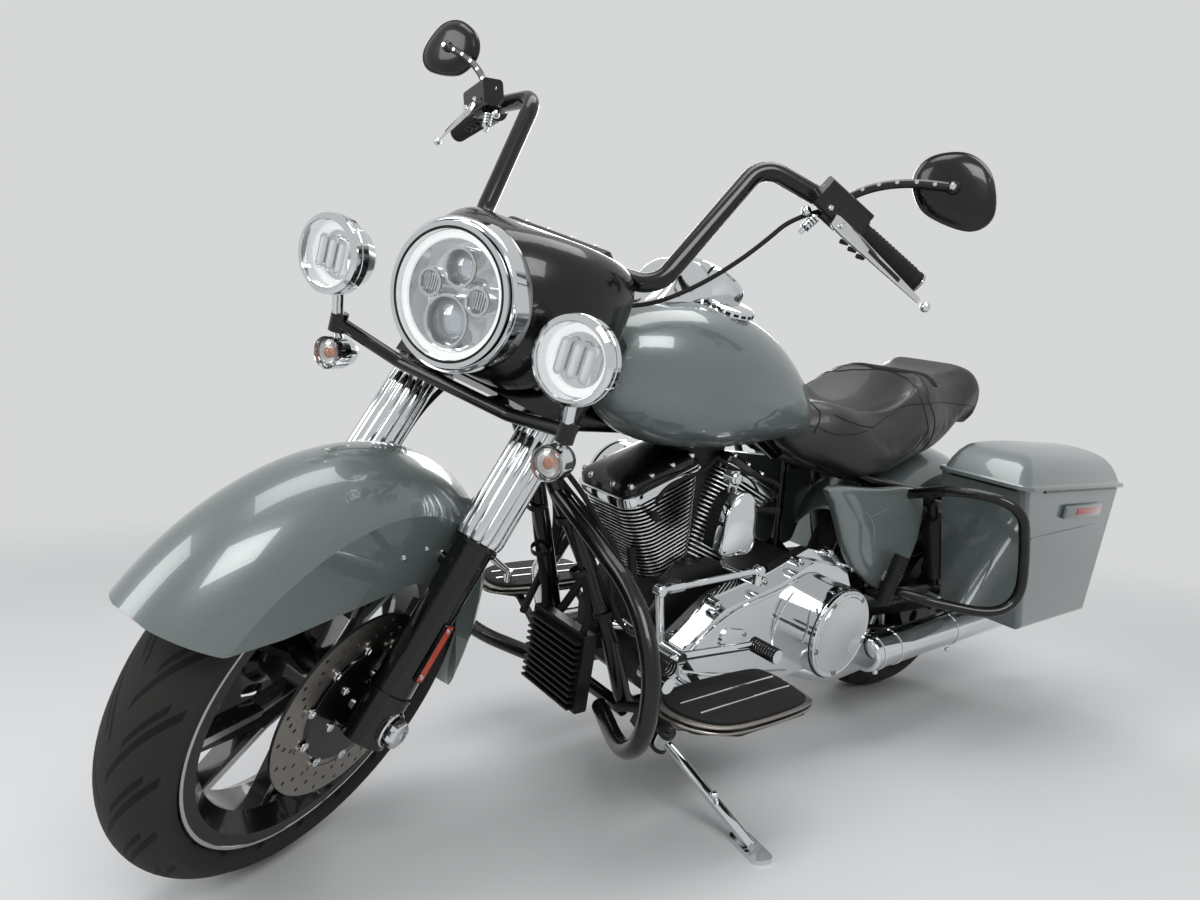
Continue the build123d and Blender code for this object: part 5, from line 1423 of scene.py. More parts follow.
# ---- engine ----
@dataclass
class Cylinder:
    """One finned cylinder's bright fin edges and its rocker covers.

    Attributes:
        name: which cylinder.
        tilt: degrees forward of vertical.
        crank: the crankshaft, x and z.
        first: height of the first fin over the crankshaft.
        pitch: fin spacing.
        rows: number of fins.
        base: half length and half width of the lowest fin.
        head: the same for the highest.
        corner: radius of the fins' corners.
        rocker: half length and half width of the rocker covers.
        rocker_z: their foot.
    """

    name: str
    tilt: float
    crank: Pair = (885.0, 330.0)
    first: float = 136.0
    pitch: float = 9.2
    rows: int = 20
    base: Pair = (62.0, 64.0)
    head: Pair = (98.0, 82.0)
    corner: float = 42.0
    rocker: Pair = (104.0, 84.0)
    rocker_z: float = 318.0

    def place(self) -> Place:
        """Returns the cylinder's frame: Z up its axis from the crankshaft."""
        tilt = radians(self.tilt)
        return Place(Body.CHASSIS, (self.crank[0], 0, self.crank[1]), (sin(tilt), 0, cos(tilt)))

    def build(self) -> None:
        """Makes the fin edges, the rocker covers and their screws."""
        place = self.place()
        edges = []
        for row in range(self.rows):
            share = row / (self.rows - 1)
            half_x = self.base[0] + (self.head[0] - self.base[0]) * share
            half_y = self.base[1] + (self.head[1] - self.base[1]) * share
            edge = band(
                half_x + 0.7, half_y + 0.7, min(self.corner, half_x - 2, half_y - 2), 2.8, 3.4)
            edges.append(spread(edge, [spot(0, 0, self.first + 0.2 + self.pitch * row)]))
        place.settle(edges, self.name + "_fin_edges", Finish.MILLED, 30)
        half_x, half_y = self.rocker
        outline = rounded_box(half_x, half_y, 30, 8)
        foot = self.rocker_z
        lower = bulged(outline, [
            (foot, 0.985), (foot + 1.5, 1.0), (foot + 17, 1.0), (foot + 19, 0.99),
            (foot + 20, 0.965),
        ])
        place.settle(lower, self.name + "_rocker_base", Finish.CHROME, 30, ["rocker_covers"])
        gasket = bulged(outline, [(foot + 20, 0.935), (foot + 22, 0.935)])
        place.settle(gasket, self.name + "_rocker_gasket", Finish.DARK)
        upper = bulged(outline, [
            (foot + 22, 0.925), (foot + 23, 0.94), (foot + 34, 0.93), (foot + 38, 0.9),
            (foot + 41, 0.84),
            (foot + 44, 0.76), (foot + 46.5, 0.62), (foot + 47.5, 0.4), (foot + 48, 0.1),
        ])
        place.settle(upper, self.name + "_rocker_cap", Finish.BLACK, 30)
        screws = []
        for x in (-0.76, -0.26, 0.26, 0.76):
            for y in (-1, 1):
                screws.append(spot(x * half_x, y * (half_y - 13), foot + 36))
        for y in (-0.4, 0.4):
            screws += [spot(side * (half_x - 13), y * half_y, foot + 36) for side in (1, -1)]
        place.settle(spread(screw_head(6, 7), screws), self.name + "_rocker_screws", Finish.CHROME)
        plug = turned([(0, 9), (10, 9), (12, 6), (34, 6), (36, 8), (58, 7), (60, 3)], 20)
        side = 1 if self.tilt > 0 else -1
        at = facing((side * 40, self.head[1] - 6, 280), (side * 0.5, 0.8, 0.35))
        place.settle(spread(plug, [at]), self.name + "_spark_plug", Finish.RUBBER)


@dataclass
class HornCover:
    """The bright domed cover on its black backing, and its mount.

    Attributes:
        edge: x and z of the cover's outline.
        foot: where its rim starts, across.
    """

    edge: Sequence[Pair] = (
        (936, 610), (943, 560), (940, 526), (902, 520), (864, 526), (860, 560), (868, 610),
        (882, 634), (902, 641),
        (922, 634),
    )
    foot: float = 166.0

    def build(self) -> None:
        """Makes the shell, the backing and the stud."""
        place = Place(Body.CHASSIS, (0, self.foot, 0), (0, 1, 0), (1, 0, 0))
        edge = [
            (901 + (x - 901) * 1.14, -580 - (z - 580) * 1.06) for x, z in smooth_loop(self.edge, 4)]
        shell = bulged(edge, [
            (0, 0.97), (1, 1.0), (13, 1.0), (18, 0.985), (22.5, 0.94), (25, 0.89), (30, 0.75),
            (35, 0.57),
            (38.5, 0.38), (40.5, 0.2), (41, 0.04),
        ])
        place.settle(shell, "horn_cover_shell", Finish.CHROME, 24, ["horn_cover"])
        back = bulged(edge, [(-34, 0.8), (-30, 0.9), (-4, 0.93), (0, 0.9)])
        place.settle(back, "horn_body", Finish.SATIN)
        stud = spread(
            turned([(-30, 13), (-6, 13), (-3, 10), (0, 10), (2, 5)], 32), [spot(908, -664)])
        strap = block((24, 60, 5), 2, (906, -648, -14))
        place.settle(joined([stud, strap]), "horn_mount", Finish.CHROME)


@dataclass
class PrimarySide:
    """The left engine side: lugs and screws of the long cover, its ridges and the round cover.

    Attributes:
        face: across, the long cover's face.
        clutch: middle of the round cover, x and z.
        clutch_y: its face.
        clutch_r: its radius.
    """

    face: float = 172.0
    clutch: Pair = (545.0, 323.0)
    clutch_y: float = 230.0
    clutch_r: float = 100.0

    def build(self) -> None:
        """Makes the round cover's rim and screws, the lugs and the ridges."""
        place = Place(
            Body.CHASSIS, (self.clutch[0], self.clutch_y, self.clutch[1]), (0, 1, 0), (1, 0, 0))
        radius = self.clutch_r
        face = turned([
            (-8, radius), (-6, radius + 1.6), (0, radius + 1.6), (1.4, radius), (1.8, radius - 4),
            (0.6, radius - 7), (0.8, radius - 12), (2.2, radius - 15), (3.4, radius * 0.6),
            (4.2, radius * 0.3),
            (4.6, 1),
        ], 96)
        place.settle(face, "clutch_cover_face", Finish.CHROME, 20)
        seam = ring_of(
            [(-9.4, radius + 2), (-9.4, radius + 5.4), (-8, radius + 5.4), (-8, radius + 2)], 96)
        place.settle(seam, "clutch_cover_gasket", Finish.DARK)
        angles = [radians(72 * k + 18) for k in range(5)]
        screws = spread(screw_head(6.2, 3.2), [
            spot((radius - 9) * cos(a), (radius - 9) * sin(a), 1.0) for a in angles])
        place.settle(screws, "clutch_cover_screws", Finish.STEEL)
        place = Place(Body.CHASSIS, (0, self.face, 0), (0, 1, 0), (1, 0, 0))
        lugs, screws = [], []
        for x, z in (
            (1004, 322), (906, 412), (776, 446), (662, 478), (556, 490), (452, 446), (936, 240),
            (764, 222),
        ):
            lugs.append(spread(turned([
                (-24, 10.4), (-4, 10), (-1, 9), (0, 7.4), (0.2, 1)], 24), [spot(x, -z)]))
            screws.append(spot(x, -z, 0))
        place.settle(lugs, "primary_lugs", Finish.CHROME, 30)
        place.settle(spread(screw_head(5.2, 4.4), screws), "primary_screws", Finish.STEEL)
        ridge = pipe([
            (986, -300, 0), (960, -336, 1), (884, -386, 1), (800, -410, 1), (724, -420, 1),
            (668, -440, 0),
        ], 4.5)
        lower = pipe(
            [(980, -286, 0), (900, -264, 1), (800, -246, 1), (700, -236, 1), (640, -226, 0)], 4)
        place.settle(joined([ridge, lower]), "primary_ridges", Finish.CHROME)
        oval = spread(bulged(rounded_box(40, 22, 21, 8), [
            (0, 1.0), (3, 1.0), (5, 0.95), (5.6, 0.8), (5.8, 0.1)]), [spot(846, -334, 0, -12)])
        place.settle(oval, "chain_inspection_cover", Finish.CHROME, 24)
        screws = [spot(846 + dx, -334 - dz, 5.2) for dx, dz in ((30, -6.5), (-30, 6.5))]
        place.settle(spread(screw_head(4.5, 2.5), screws), "inspection_screws", Finish.STEEL)
        scallop = pipe([
            (690, -268, 0), (712, -300, 1), (716, -340, 1), (700, -380, 1), (668, -412, 0)], 3.0)
        place.settle(scallop, "primary_scallop", Finish.CHROME)


@dataclass
class EngineTrim:
    """Small engine pieces: right-hand covers, wiring and hoses by the down tubes."""

    def build(self) -> None:
        """Makes the pieces."""
        place = Place(Body.CHASSIS)
        hoses = []
        for side in (1, -1):
            hoses.append(pipe([
                (1150, side * 60, 330), (1142, side * 74, 380), (1168, side * 76, 440),
                (1196, side * 66, 520),
                (1228, side * 52, 600), (1250, side * 42, 660),
            ], 7))
            hoses.append(pipe([
                (1120, side * 52, 336), (1090, side * 64, 352), (1060, side * 74, 380),
                (1040, side * 70, 430),
                (1050, side * 50, 500),
            ], 9))
        hoses.append(pipe([
            (1240, 40, 640), (1210, 66, 600), (1160, 92, 560), (1120, 104, 500), (1096, 112, 420),
            (1080, 120, 360), (1040, 130, 300),
        ], 6))
        hoses.append(pipe([
            (1268, 30, 690), (1226, 76, 640), (1186, 100, 580), (1150, 108, 520), (1136, 104, 440),
            (1120, 112, 392), (1076, 118, 350),
        ], 5))
        hoses.append(pipe([
            (1180, -90, 330), (1150, -116, 350), (1110, -120, 420), (1120, -90, 520),
            (1180, -60, 620),
        ], 8))
        for side in (1, -1):
            tilt = radians(22.5)
            top = (885 + side * sin(tilt) * 300 + side * 60, 108, 330 + cos(tilt) * 300)
            hoses.append(pipe([
                top, (top[0] + side * 6, 124, top[2] + 24), (top[0] - side * 30, 112, top[2] + 46),
                (885 + side * 40, 96, 660), (890, 84, 690),
            ], 4.2))
        place.settle(hoses, "hoses_and_leads", Finish.RUBBER)
        clips = []
        for x, y, z in ((1178, 64, 470), (1214, 48, 566), (1126, 90, 392)):
            for side in (1, -1):
                clips.append(put(ring_of([
                    (-6, 19), (-5, 20.4), (5, 20.4),
                    (6, 19)], 28), (x, side * y, z), (0.34, side * -0.2, 0.9)))
        place.settle(clips, "hose_clips", Finish.SATIN)
        place = Place(Body.CHASSIS, (885, -208, 566), (0, -1, 0), (1, 0, 0))
        ring = turned([
            (-6, 93), (0, 93.4), (4, 91), (6, 84), (4, 78), (3.2, 74), (4.6, 66), (8, 40),
            (9.4, 16), (9.6, 1)], 96)
        place.settle(ring, "air_cleaner_cover", Finish.CHROME, 22)
        place.settle(spread(screw_head(11, 9), [spot(0, 0, 8.4)]), "air_cleaner_bolt", Finish.STEEL)


# ---- boards, pegs, stand ----
@dataclass
class FootGear:
    """Rubber pads, bright inlays and edges of the boards, peg ribs and the ends of the shift rod.

    Attributes:
        board: x and y of the left board's outline.
        top: height of its top face.
    """

    board: Sequence[Pair] = (
        (1148, 286), (1130, 352), (1060, 390), (880, 390), (846, 352), (846, 268), (900, 246),
        (1100, 246),
    )
    top: float = 308.0

    def build(self) -> None:
        """Makes the pieces of both sides."""
        pads, lines, rims = [], [], []
        for side in (1, -1):
            outline = smooth_loop([(x, side * y) for x, y in self.board], 5)
            pads.append(bulged(outline, [
                (self.top, 0.9), (self.top + 1, 0.915), (self.top + 5, 0.915),
                (self.top + 6.5, 0.9),
                (self.top + 7, 0.6)]))
            rims.append(bulged(outline, [
                (self.top - 13, 1.005), (self.top - 12, 1.012), (self.top - 9.5, 1.012),
                (self.top - 8.5, 1.004)]))
            rims.append(bulged(outline, [
                (self.top - 3.5, 0.995), (self.top - 2.5, 1.006), (self.top - 0.4, 1.004),
                (self.top + 0.4, 0.985)]))
            for y0, y1, x0, x1 in ((296, 300, 866, 1116), (334, 338, 866, 1106)):
                lines.append(pipe([
                    (x0, side * y0, self.top + 6.6),
                    ((x0 + x1) / 2, side * (y0 + y1) / 2, self.top + 6.9),
                    (x1, side * y1, self.top + 6.6)], 2.2))
        place = Place(Body.CHASSIS)
        place.settle(pads, "board_pads", Finish.RUBBER, 40)
        place.settle(rims, "board_edges", Finish.STEEL, 40)
        place.settle(lines, "board_inlays", Finish.POLISH)
        ribs = []
        for start, end, radius in (
            ((1172, 256, 396), (1172, 318, 396), 13.4), ((900, 262, 372), (900, 322, 372), 13.4),
        ):
            run = Vector(end) - Vector(start)
            for k in range(10):
                at = Vector(start) + run * (k + 0.5) / 10
                ribs.append(facing(tuple(at), tuple(run)))
        ring = ring_of([(-2, 12.6), (-1.4, 14.6), (1.4, 14.6), (2, 12.6)], 28)
        place.settle(spread(ring, ribs), "shift_peg_rubbers", Finish.RUBBER)
        ribs = []
        for side in (1, -1):
            start, end = Vector((356, side * 206, 364)), Vector((326, side * 214, 482))
            run = end - start
            ribs += [facing(tuple(start + run * (k + 0.5) / 14), tuple(run)) for k in range(14)]
        ring = ring_of([(-2.2, 16.6), (-1.6, 18.4), (1.6, 18.4), (2.2, 16.6)], 28)
        place.settle(spread(ring, ribs), "passenger_peg_rubbers", Finish.RUBBER)
        clevis = []
        for x, z in ((1110, 478), (846, 490)):
            clevis.append(
                put(
                    turned([(-9, 9), (-7, 11), (7, 11), (9, 9), (9.2, 1)], 24), (x, 204, z),
                    (0, 1, 0)))
        for x, length in ((1070, 40), (886, 34)):
            z = 478 + (1110 - x) * 12 / 264
            clevis.append(put(turned([
                (-length / 2, 6.4), (-length / 2 + 3, 9), (length / 2 - 3, 9),
                (length / 2, 6.4)], 6), (x, 204, z), (-1, 0, 0.045)))
        place.settle(clevis, "shift_rod_ends", Finish.CHROME)


# ---- dash and tank top ----
@dataclass
class Dash:
    """The bright pod on the tank with its dial, and the filler cap.

    Attributes:
        dial: middle of the dial's face.
        dial_axis: the way it faces.
        dial_r: radius of its rim.
        cap: middle of the filler cap's foot.
        cap_r: the cap's radius.
    """

    dial: Point = (911.0, 0.0, 1026.0)
    dial_axis: Point = (-0.45, 0.0, 0.89)
    dial_r: float = 76.0
    cap: Point = (930.0, 84.0, 966.0)
    cap_r: float = 44.0

    def build(self) -> None:
        """Makes the pod, the dial and the cap."""
        place = Place(Body.CHASSIS)
        pod = stacked(rounded_box(185, 58, 40, 8), [
            (900, 1.0, 1.0, 945, 0), (940, 0.97, 1.0, 945, 0), (964, 0.86, 1.0, 950, 0),
            (985, 0.70, 1.0, 960, 0), (1003, 0.54, 0.98, 974, 0), (1020, 0.41, 0.94, 985, 0),
            (1036, 0.30, 0.86, 993, 0), (1048, 0.20, 0.7, 997, 0), (1055, 0.12, 0.5, 998, 0),
            (1058, 0.03, 0.15, 998, 0),
        ], smooth=1)
        place.settle(pod, "dash_pod", Finish.CHROME, 40, ["console"])
        place = Place(Body.CHASSIS, self.dial, self.dial_axis, (1, 0, 0))
        radius = self.dial_r
        housing = turned([
            (-88, 34), (-64, 52), (-36, 66), (-14, radius - 3), (-6, radius), (2, radius),
            (5, radius - 2),
            (6, radius - 5), (3, radius - 8), (0, radius - 9), (-1, 1),
        ], 96)
        place.settle(housing, "dial_housing", Finish.CHROME, 24)
        face = turned([(-0.4, radius - 9.4), (0.4, radius - 9.4), (0.5, 1)], 72)
        place.settle(face, "dial_face", Finish.DARK)
        marks = []
        for step in range(25):
            long_mark = step % 4 == 0
            mark = block(
                (1.6 if long_mark else 0.9, 10 if long_mark else 5, 0.6), 0.2, (0, 54, 1.0), 1)
            marks.append(spread(mark, [spot(0, 0, 0, 120 - 10 * step + 90)]))
        for step in range(7):
            angle = radians(210 - 40 * step + 90)
            select_none()
            bpy.ops.object.text_add(location=(0, 0, 0))
            text = bpy.context.object
            text.data.body = str(20 * step)
            text.data.size = 11 * MM
            text.data.align_x, text.data.align_y = "CENTER", "CENTER"
            text.data.extrude = 0.0002
            bpy.ops.object.convert(target="MESH")
            at = spot(40 * cos(angle - pi / 2), 40 * sin(angle - pi / 2), 1.0, -90)
            marks.append(spread(bpy.context.object, [at]))
        place.settle(marks, "dial_marks", Finish.DIAL)
        needle = joined([
            spread(block((1.8, 46, 0.8), 0.3, (0, 18, 2.2), 1), [spot(0, 0, 0, -150)]),
            turned([(1, 5), (3.4, 5), (3.8, 3.4), (3.8, 1)], 24),
        ])
        place.settle(needle, "dial_needle", Finish.REFLECTOR)
        glass = turned([(3.6, radius - 8), (4.4, radius - 8), (4.9, radius * 0.5), (5, 1)], 72)
        place.settle(glass, "dial_glass", Finish.LENS)
        place = Place(Body.CHASSIS, self.cap, (0.05, 0.3, 0.95), (1, 0, 0))
        radius = self.cap_r
        cap = turned([
            (-12, radius - 3), (4, radius - 3), (6, radius), (8, radius + 2.4), (18, radius + 1),
            (21, radius - 3),
            (22.6, radius - 12), (23, 1),
        ], 72)
        place.settle(cap, "filler_cap", Finish.CHROME, 28)
        # dark blocks round the cap's rim: painted shade in its grip slots
        slots = []
        for step in range(18):
            angle = 20 * step
            slots.append(spot(0, 0, 0, angle) @ spot(radius + 1.4, 0, 12.6))
        slot = block((2.4, 10, 5.6), 0.8, (0, 0, 0), 1)
        place.settle(spread(slot, slots), "filler_cap_slot_painted_shade", Finish.DARK)


@dataclass
class BarCover:
    """The wrap over the handlebar's middle.

    Attributes:
        centre: middle of the wrap.
        half: half its length.
    """

    centre: Point = (1280.0, 0.0, 1021.0)
    half: float = 100.0

    def build(self) -> None:
        """Makes the wrap and its screws."""
        place = Place(Body.STEERING, self.centre, (0, 1, 0), (1, 0, 0.12))
        outline = smooth_loop(
            [(30, 4), (24, -20), (4, -31), (-18, -24), (-28, 0), (-24, 22), (0, 29), (24, 24)], 5)
        half = self.half
        wrap = stacked(outline, [
            (-half, 0.9, 0.9, 0, 0), (-half + 2, 0.98, 0.98, 0, 0), (-half + 5, 1.0, 1.0, 0, 0),
            (half - 5, 1.0, 1.0, 0, 0), (half - 2, 0.98, 0.98, 0, 0), (half, 0.9, 0.9, 0, 0),
        ])
        place.settle(wrap, "bar_wrap", Finish.SATIN, 30)
        screws = spread(screw_head(4.6, 3), [
            facing((2, -30, z), (0.1, -1, 0)) for z in (-70, -24, 24, 70)])
        place.settle(screws, "bar_wrap_screws", Finish.CHROME)


# ---- seat ----
@dataclass
class Seat:
    """The two-up seat: a stuffed cover over foam, with its seams, piping and strap.

    Attributes:
        voxel: size of its mesh.
        swell: how far the stuffing may push the cover out.
        frames: length of the stuffing's simulation.
        seams: lines on its left half.
    """

    voxel: float = 7.0
    swell: float = 9.0
    frames: int = 20
    seams: Dict[str, Sequence[Point]] = field(default_factory=lambda: {
        "nose": (
            (630, 118, 752), (622, 120, 778), (606, 104, 798), (600, 60, 804), (600, 20, 804),
            (600, 0, 804)),
        "bucket": (
            (585, 127, 797), (562, 145, 789), (521, 159, 782), (472, 162, 782), (409, 146, 802),
            (356, 143, 826),
            (320, 153, 839), (292, 162, 842), (262, 166, 844), (185, 157, 850), (100, 150, 848),
            (25, 141, 846),
            (-40, 122, 842),
        ),
        "bolster": (
            (648, 110, 768), (624, 121, 768), (606, 133, 758), (584, 145, 755), (544, 162, 761),
            (503, 166, 772)),
        "round": (
            (208, 0, 898), (212, 30, 897), (234, 82, 888), (268, 124, 872), (288, 149, 857),
            (282, 168, 819),
            (268, 169, 777), (293, 174, 739), (354, 180, 712), (410, 178, 690), (430, 172, 668),
        ),
        "rear": (
            (186, 0, 900), (190, 30, 900), (212, 84, 892), (244, 128, 878), (262, 160, 850),
            (240, 166, 815),
            (222, 162, 776), (212, 158, 742), (208, 152, 712),
        ),
    })

    def build(self) -> None:
        """Makes the stuffed body, then its seams on top of it."""
        source = frame["nodes"]["seat"]
        select_only(source)
        bpy.ops.object.duplicate()
        body = bpy.context.object
        mode("EDIT")
        select_every()
        bpy.ops.mesh.remove_doubles(threshold=1e-5)
        bpy.ops.mesh.normals_make_consistent(inside=False)
        mode("OBJECT")
        voxel, iterations = ((self.voxel, 16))
        modify(body, "REMESH", mode="VOXEL", voxel_size=voxel * MM)
        modify(body, "SMOOTH", factor=0.6, iterations=iterations)
        self._stuff(body)
        modify(body, "SUBSURF", levels=1, render_levels=1)
        body.name = body.data.name = "seat_cover"
        body.data.materials.clear()
        body.data.materials.append(Finish.LEATHER.material())
        bpy.ops.object.shade_smooth()
        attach(body, "chassis")
        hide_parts("seat")
        LOG.info("seat_cover: %d faces", len(body.data.polygons))
        place = Place(Body.CHASSIS)
        cords = []
        for line in self.seams.values():
            cords += [
                pipe(
                    mirrored(line, side), 1.7, onto=body, under=place.matrix()) for side in (1, -1)]
        place.settle(cords, "seat_piping", Finish.PIPING)
        strap = []
        for offset in range(-10, 11, 4):
            line = [(198 + offset, y, z) for y, z in (
                (-128, 880), (-96, 888), (-50, 897), (0, 900), (50, 897), (96, 888), (128, 880))]
            strap.append(pipe(line, 2.8, onto=body, under=place.matrix()))
        place.settle(strap, "seat_strap", Finish.RUBBER, slot="leather")

    def _stuff(self, body: Object) -> None:
        """Blows the cover up like foam under leather, and caps how far a point may move."""
        start = [v.co.copy() for v in body.data.vertices]
        cloth = body.modifiers.new("stuffing", "CLOTH")
        settings = cloth.settings
        settings.use_pressure = True
        settings.uniform_pressure_force = 4.0
        settings.effector_weights.gravity = 0.0
        settings.quality = 4
        settings.tension_stiffness = settings.compression_stiffness = 40.0
        scene = bpy.context.scene
        cloth.point_cache.frame_start, cloth.point_cache.frame_end = 1, self.frames
        for step in range(1, self.frames + 1):
            scene.frame_set(step)
        select_only(body)
        bpy.ops.object.modifier_apply(modifier=cloth.name)
        scene.frame_set(1)
        limit = self.swell * MM
        for vertex, old in zip(body.data.vertices, start):
            move = vertex.co - old
            if move.length > limit:
                vertex.co = old + move * (limit / move.length)
        modify(body, "SMOOTH", factor=0.5, iterations=3)


# ---- bags and rear ----
@dataclass
class SaddlebagTrim:
    """One bag's domed lid, rim, reflector and latch.

    Attributes:
        side: 1 for the left bag, -1 for the right.
        middle: middle of the lid, x and y.
        half: half its length and half its width.
        rim_z: height of the bag's rim.
    """

    side: int
    middle: Pair = (-76.0, 308.0)
    half: Pair = (306.0, 105.0)
    rim_z: float = 690.5

    def build(self) -> None:
        """Makes the lid shell and the trim of the bag."""
        tag = "left" if self.side > 0 else "right"
        body = Body.LEFT_LID if self.side > 0 else Body.RIGHT_LID
        x, y = self.middle
        half_x, half_y = self.half
        z, side = self.rim_z, self.side
        outline = rounded_box(half_x, half_y, 30, 7)
        if side < 0:
            outline = [(u, -v) for u, v in outline]
        lid = stacked(outline, [
            (z, 1.012, 1.03, x, side * y), (z + 1.5, 1.02, 1.05, x, side * y),
            (z + 9, 1.02, 1.05, x, side * y), (z + 11.5, 1.01, 1.03, x, side * y),
            (z + 12.5, 0.985, 0.965, x, side * y), (z + 16, 0.978, 0.95, x, side * (y - 1)),
            (z + 34, 0.95, 0.895, x - 4, side * (y - 4)),
            (z + 52, 0.905, 0.82, x - 12, side * (y - 9)),
            (z + 66, 0.845, 0.725, x - 22, side * (y - 15)),
            (z + 71, 0.81, 0.675, x - 27, side * (y - 18)),
            (z + 76, 0.75, 0.6, x - 33, side * (y - 20)),
            (z + 82, 0.64, 0.47, x - 41, side * (y - 21)),
            (z + 87, 0.5, 0.32, x - 48, side * (y - 20)),
            (z + 90, 0.34, 0.16, x - 54, side * (y - 19)),
            (z + 91, 0.2, 0.03, x - 60, side * (y - 18)),
        ], wall=3.5)
        place = Place(body)
        place.settle(lid, tag + "_lid_shell", Finish.PAINT, 26, [tag + "_lid"])
        pin = pipe(
            [(-300, side * 417.5, z), (-100, side * 417.5, z), (150, side * 417.5, z)], 3.6, 2)
        place.settle(pin, tag + "_lid_hinge_barrel", Finish.BLACK)
        place = Place(Body.CHASSIS)
        seal = spread(
            band(0.965 * half_x, 0.96 * half_y, 28, 5.5, 5.0), [spot(x - 6, side * (y - 3), z - 7)])
        place.settle(seal, tag + "_bag_seal", Finish.RUBBER, 40)
        bezel = block((232, 11, 34), 5, (-130, side * 412, 634))
        place.settle(bezel, tag + "_bag_reflector_bezel", Finish.PAINT, 40)
        red = block((160, 3, 17), 1.4, (-158, side * 417.6, 634))
        place.settle(red, tag + "_bag_reflector", Finish.RED, 40)
        crease = pipe([
            (132, side * 405.2, 573), (40, side * 406.6, 577), (-60, side * 407, 581),
            (-180, side * 406.8, 586),
            (-252, side * 405.4, 589)], 4.2)
        place.settle(crease, tag + "_bag_crease", Finish.PAINT, 60)
        latch = joined([
            block((42, 8, 30), 3, (-70, side * 200, 676)),
            block((30, 12, 12), 3, (-70, side * 199, 684))])
        place.settle(latch, tag + "_bag_latch", Finish.CHROME, 40)
        knobs = joined([
            put(
                turned([(0, 11), (6, 11), (8, 9), (8.6, 1)], 24), (px, side * 197, pz),
                (0, -side, 0)) for px, pz in ((20, 560), (-180, 592))])
        place.settle(knobs, tag + "_bag_studs", Finish.CHROME)


def bent(corners: Sequence[Point], reach: float, steps: int = 8) -> List[Point]:
    """Rounds the corners of an open path as a tube bender would.

    Args:
        corners: the path's corners, in millimetres.
        reach: how far along each leg a bend starts.
        steps: points in a bend.

    Returns:
        The bent path.
    """
    path = [Vector(corners[0])]
    for before, corner, after in zip(corners, corners[1:], corners[2:]):
        middle = Vector(corner)
        legs = [Vector(before) - middle, Vector(after) - middle]
        start, stop = [middle + leg.normalized() * min(reach, leg.length * 0.48) for leg in legs]
        for step in range(steps + 1):
            t = step / steps
            path.append(start * (1 - t) ** 2 + middle * 2 * t * (1 - t) + stop * t * t)
    return [tuple(point) for point in path + [Vector(corners[-1])]]


@dataclass
class TubeGuards:
    """A left and a right guard of bent tube.

    Attributes:
        replaces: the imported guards.
        corners: corners of the left guard.
        radius: radius of its tube.
        reach: how far along each leg a bend starts.
    """

    replaces: str
    corners: Sequence[Point]
    radius: float
    reach: float

    def build(self) -> None:
        """Makes both guards."""
        tubes = [
            pipe(
                bent(mirrored(self.corners, side), self.reach), self.radius, 2,
                6) for side in (1, -1)
        ]
        place = Place(Body.CHASSIS)
        place.settle(
            tubes, self.replaces + "_tubes", Finish.BLACK, 50, [self.replaces],
        )


@dataclass
class SideCover:
    """One crowned side cover with its sculpted crease.

    Attributes:
        side: 1 for the left, -1 for the right.
        edge: x and z of its outline.
        foot: where its edge stands, across.
    """

    side: int
    edge: Sequence[Pair] = (
        (618, 646), (440, 640), (240, 628), (200, 524), (226, 430), (250, 388), (338, 386),
        (400, 414), (468, 454),
        (520, 508), (562, 564), (594, 606),
    )
    foot: float = 166.0

    def build(self) -> None:
        """Makes the cover and its crease."""
        tag = "left" if self.side > 0 else "right"
        place = Place(Body.CHASSIS, (0, self.side * self.foot, 0), (0, self.side, 0), (1, 0, 0))
        flip = -self.side
        edge = smooth_loop([(x, flip * z) for x, z in self.edge], 4)
        cover = bulged(edge, [
            (-6, 0.985), (0, 1.0), (10, 1.0), (13, 0.99), (15.5, 0.965), (17.5, 0.92), (20, 0.8),
            (22, 0.64),
            (23.4, 0.44), (24, 0.22), (24.2, 0.03),
        ])
        place.settle(cover, tag + "_side_cover", Finish.PAINT, 30, ["side_covers"])
        crease = joined([
            pipe([(x, flip * z, y) for x, z, y in line], radius)
            for line, radius in (
                (
                    (
                        (560, 618, 15), (500, 600, 19), (452, 576, 21.4), (424, 540, 22.4),
                        (420, 496, 21.6), (432, 458, 16)), 3.4),
                (((452, 576, 21.2), (400, 590, 21.4), (330, 602, 18.6), (270, 610, 14)), 3.0),
                (((420, 470, 18.4), (360, 462, 20), (300, 470, 18.8), (240, 482, 14)), 3.0),
            )])
        place.settle(crease, tag + "_side_cover_crease", Finish.PAINT, 60)


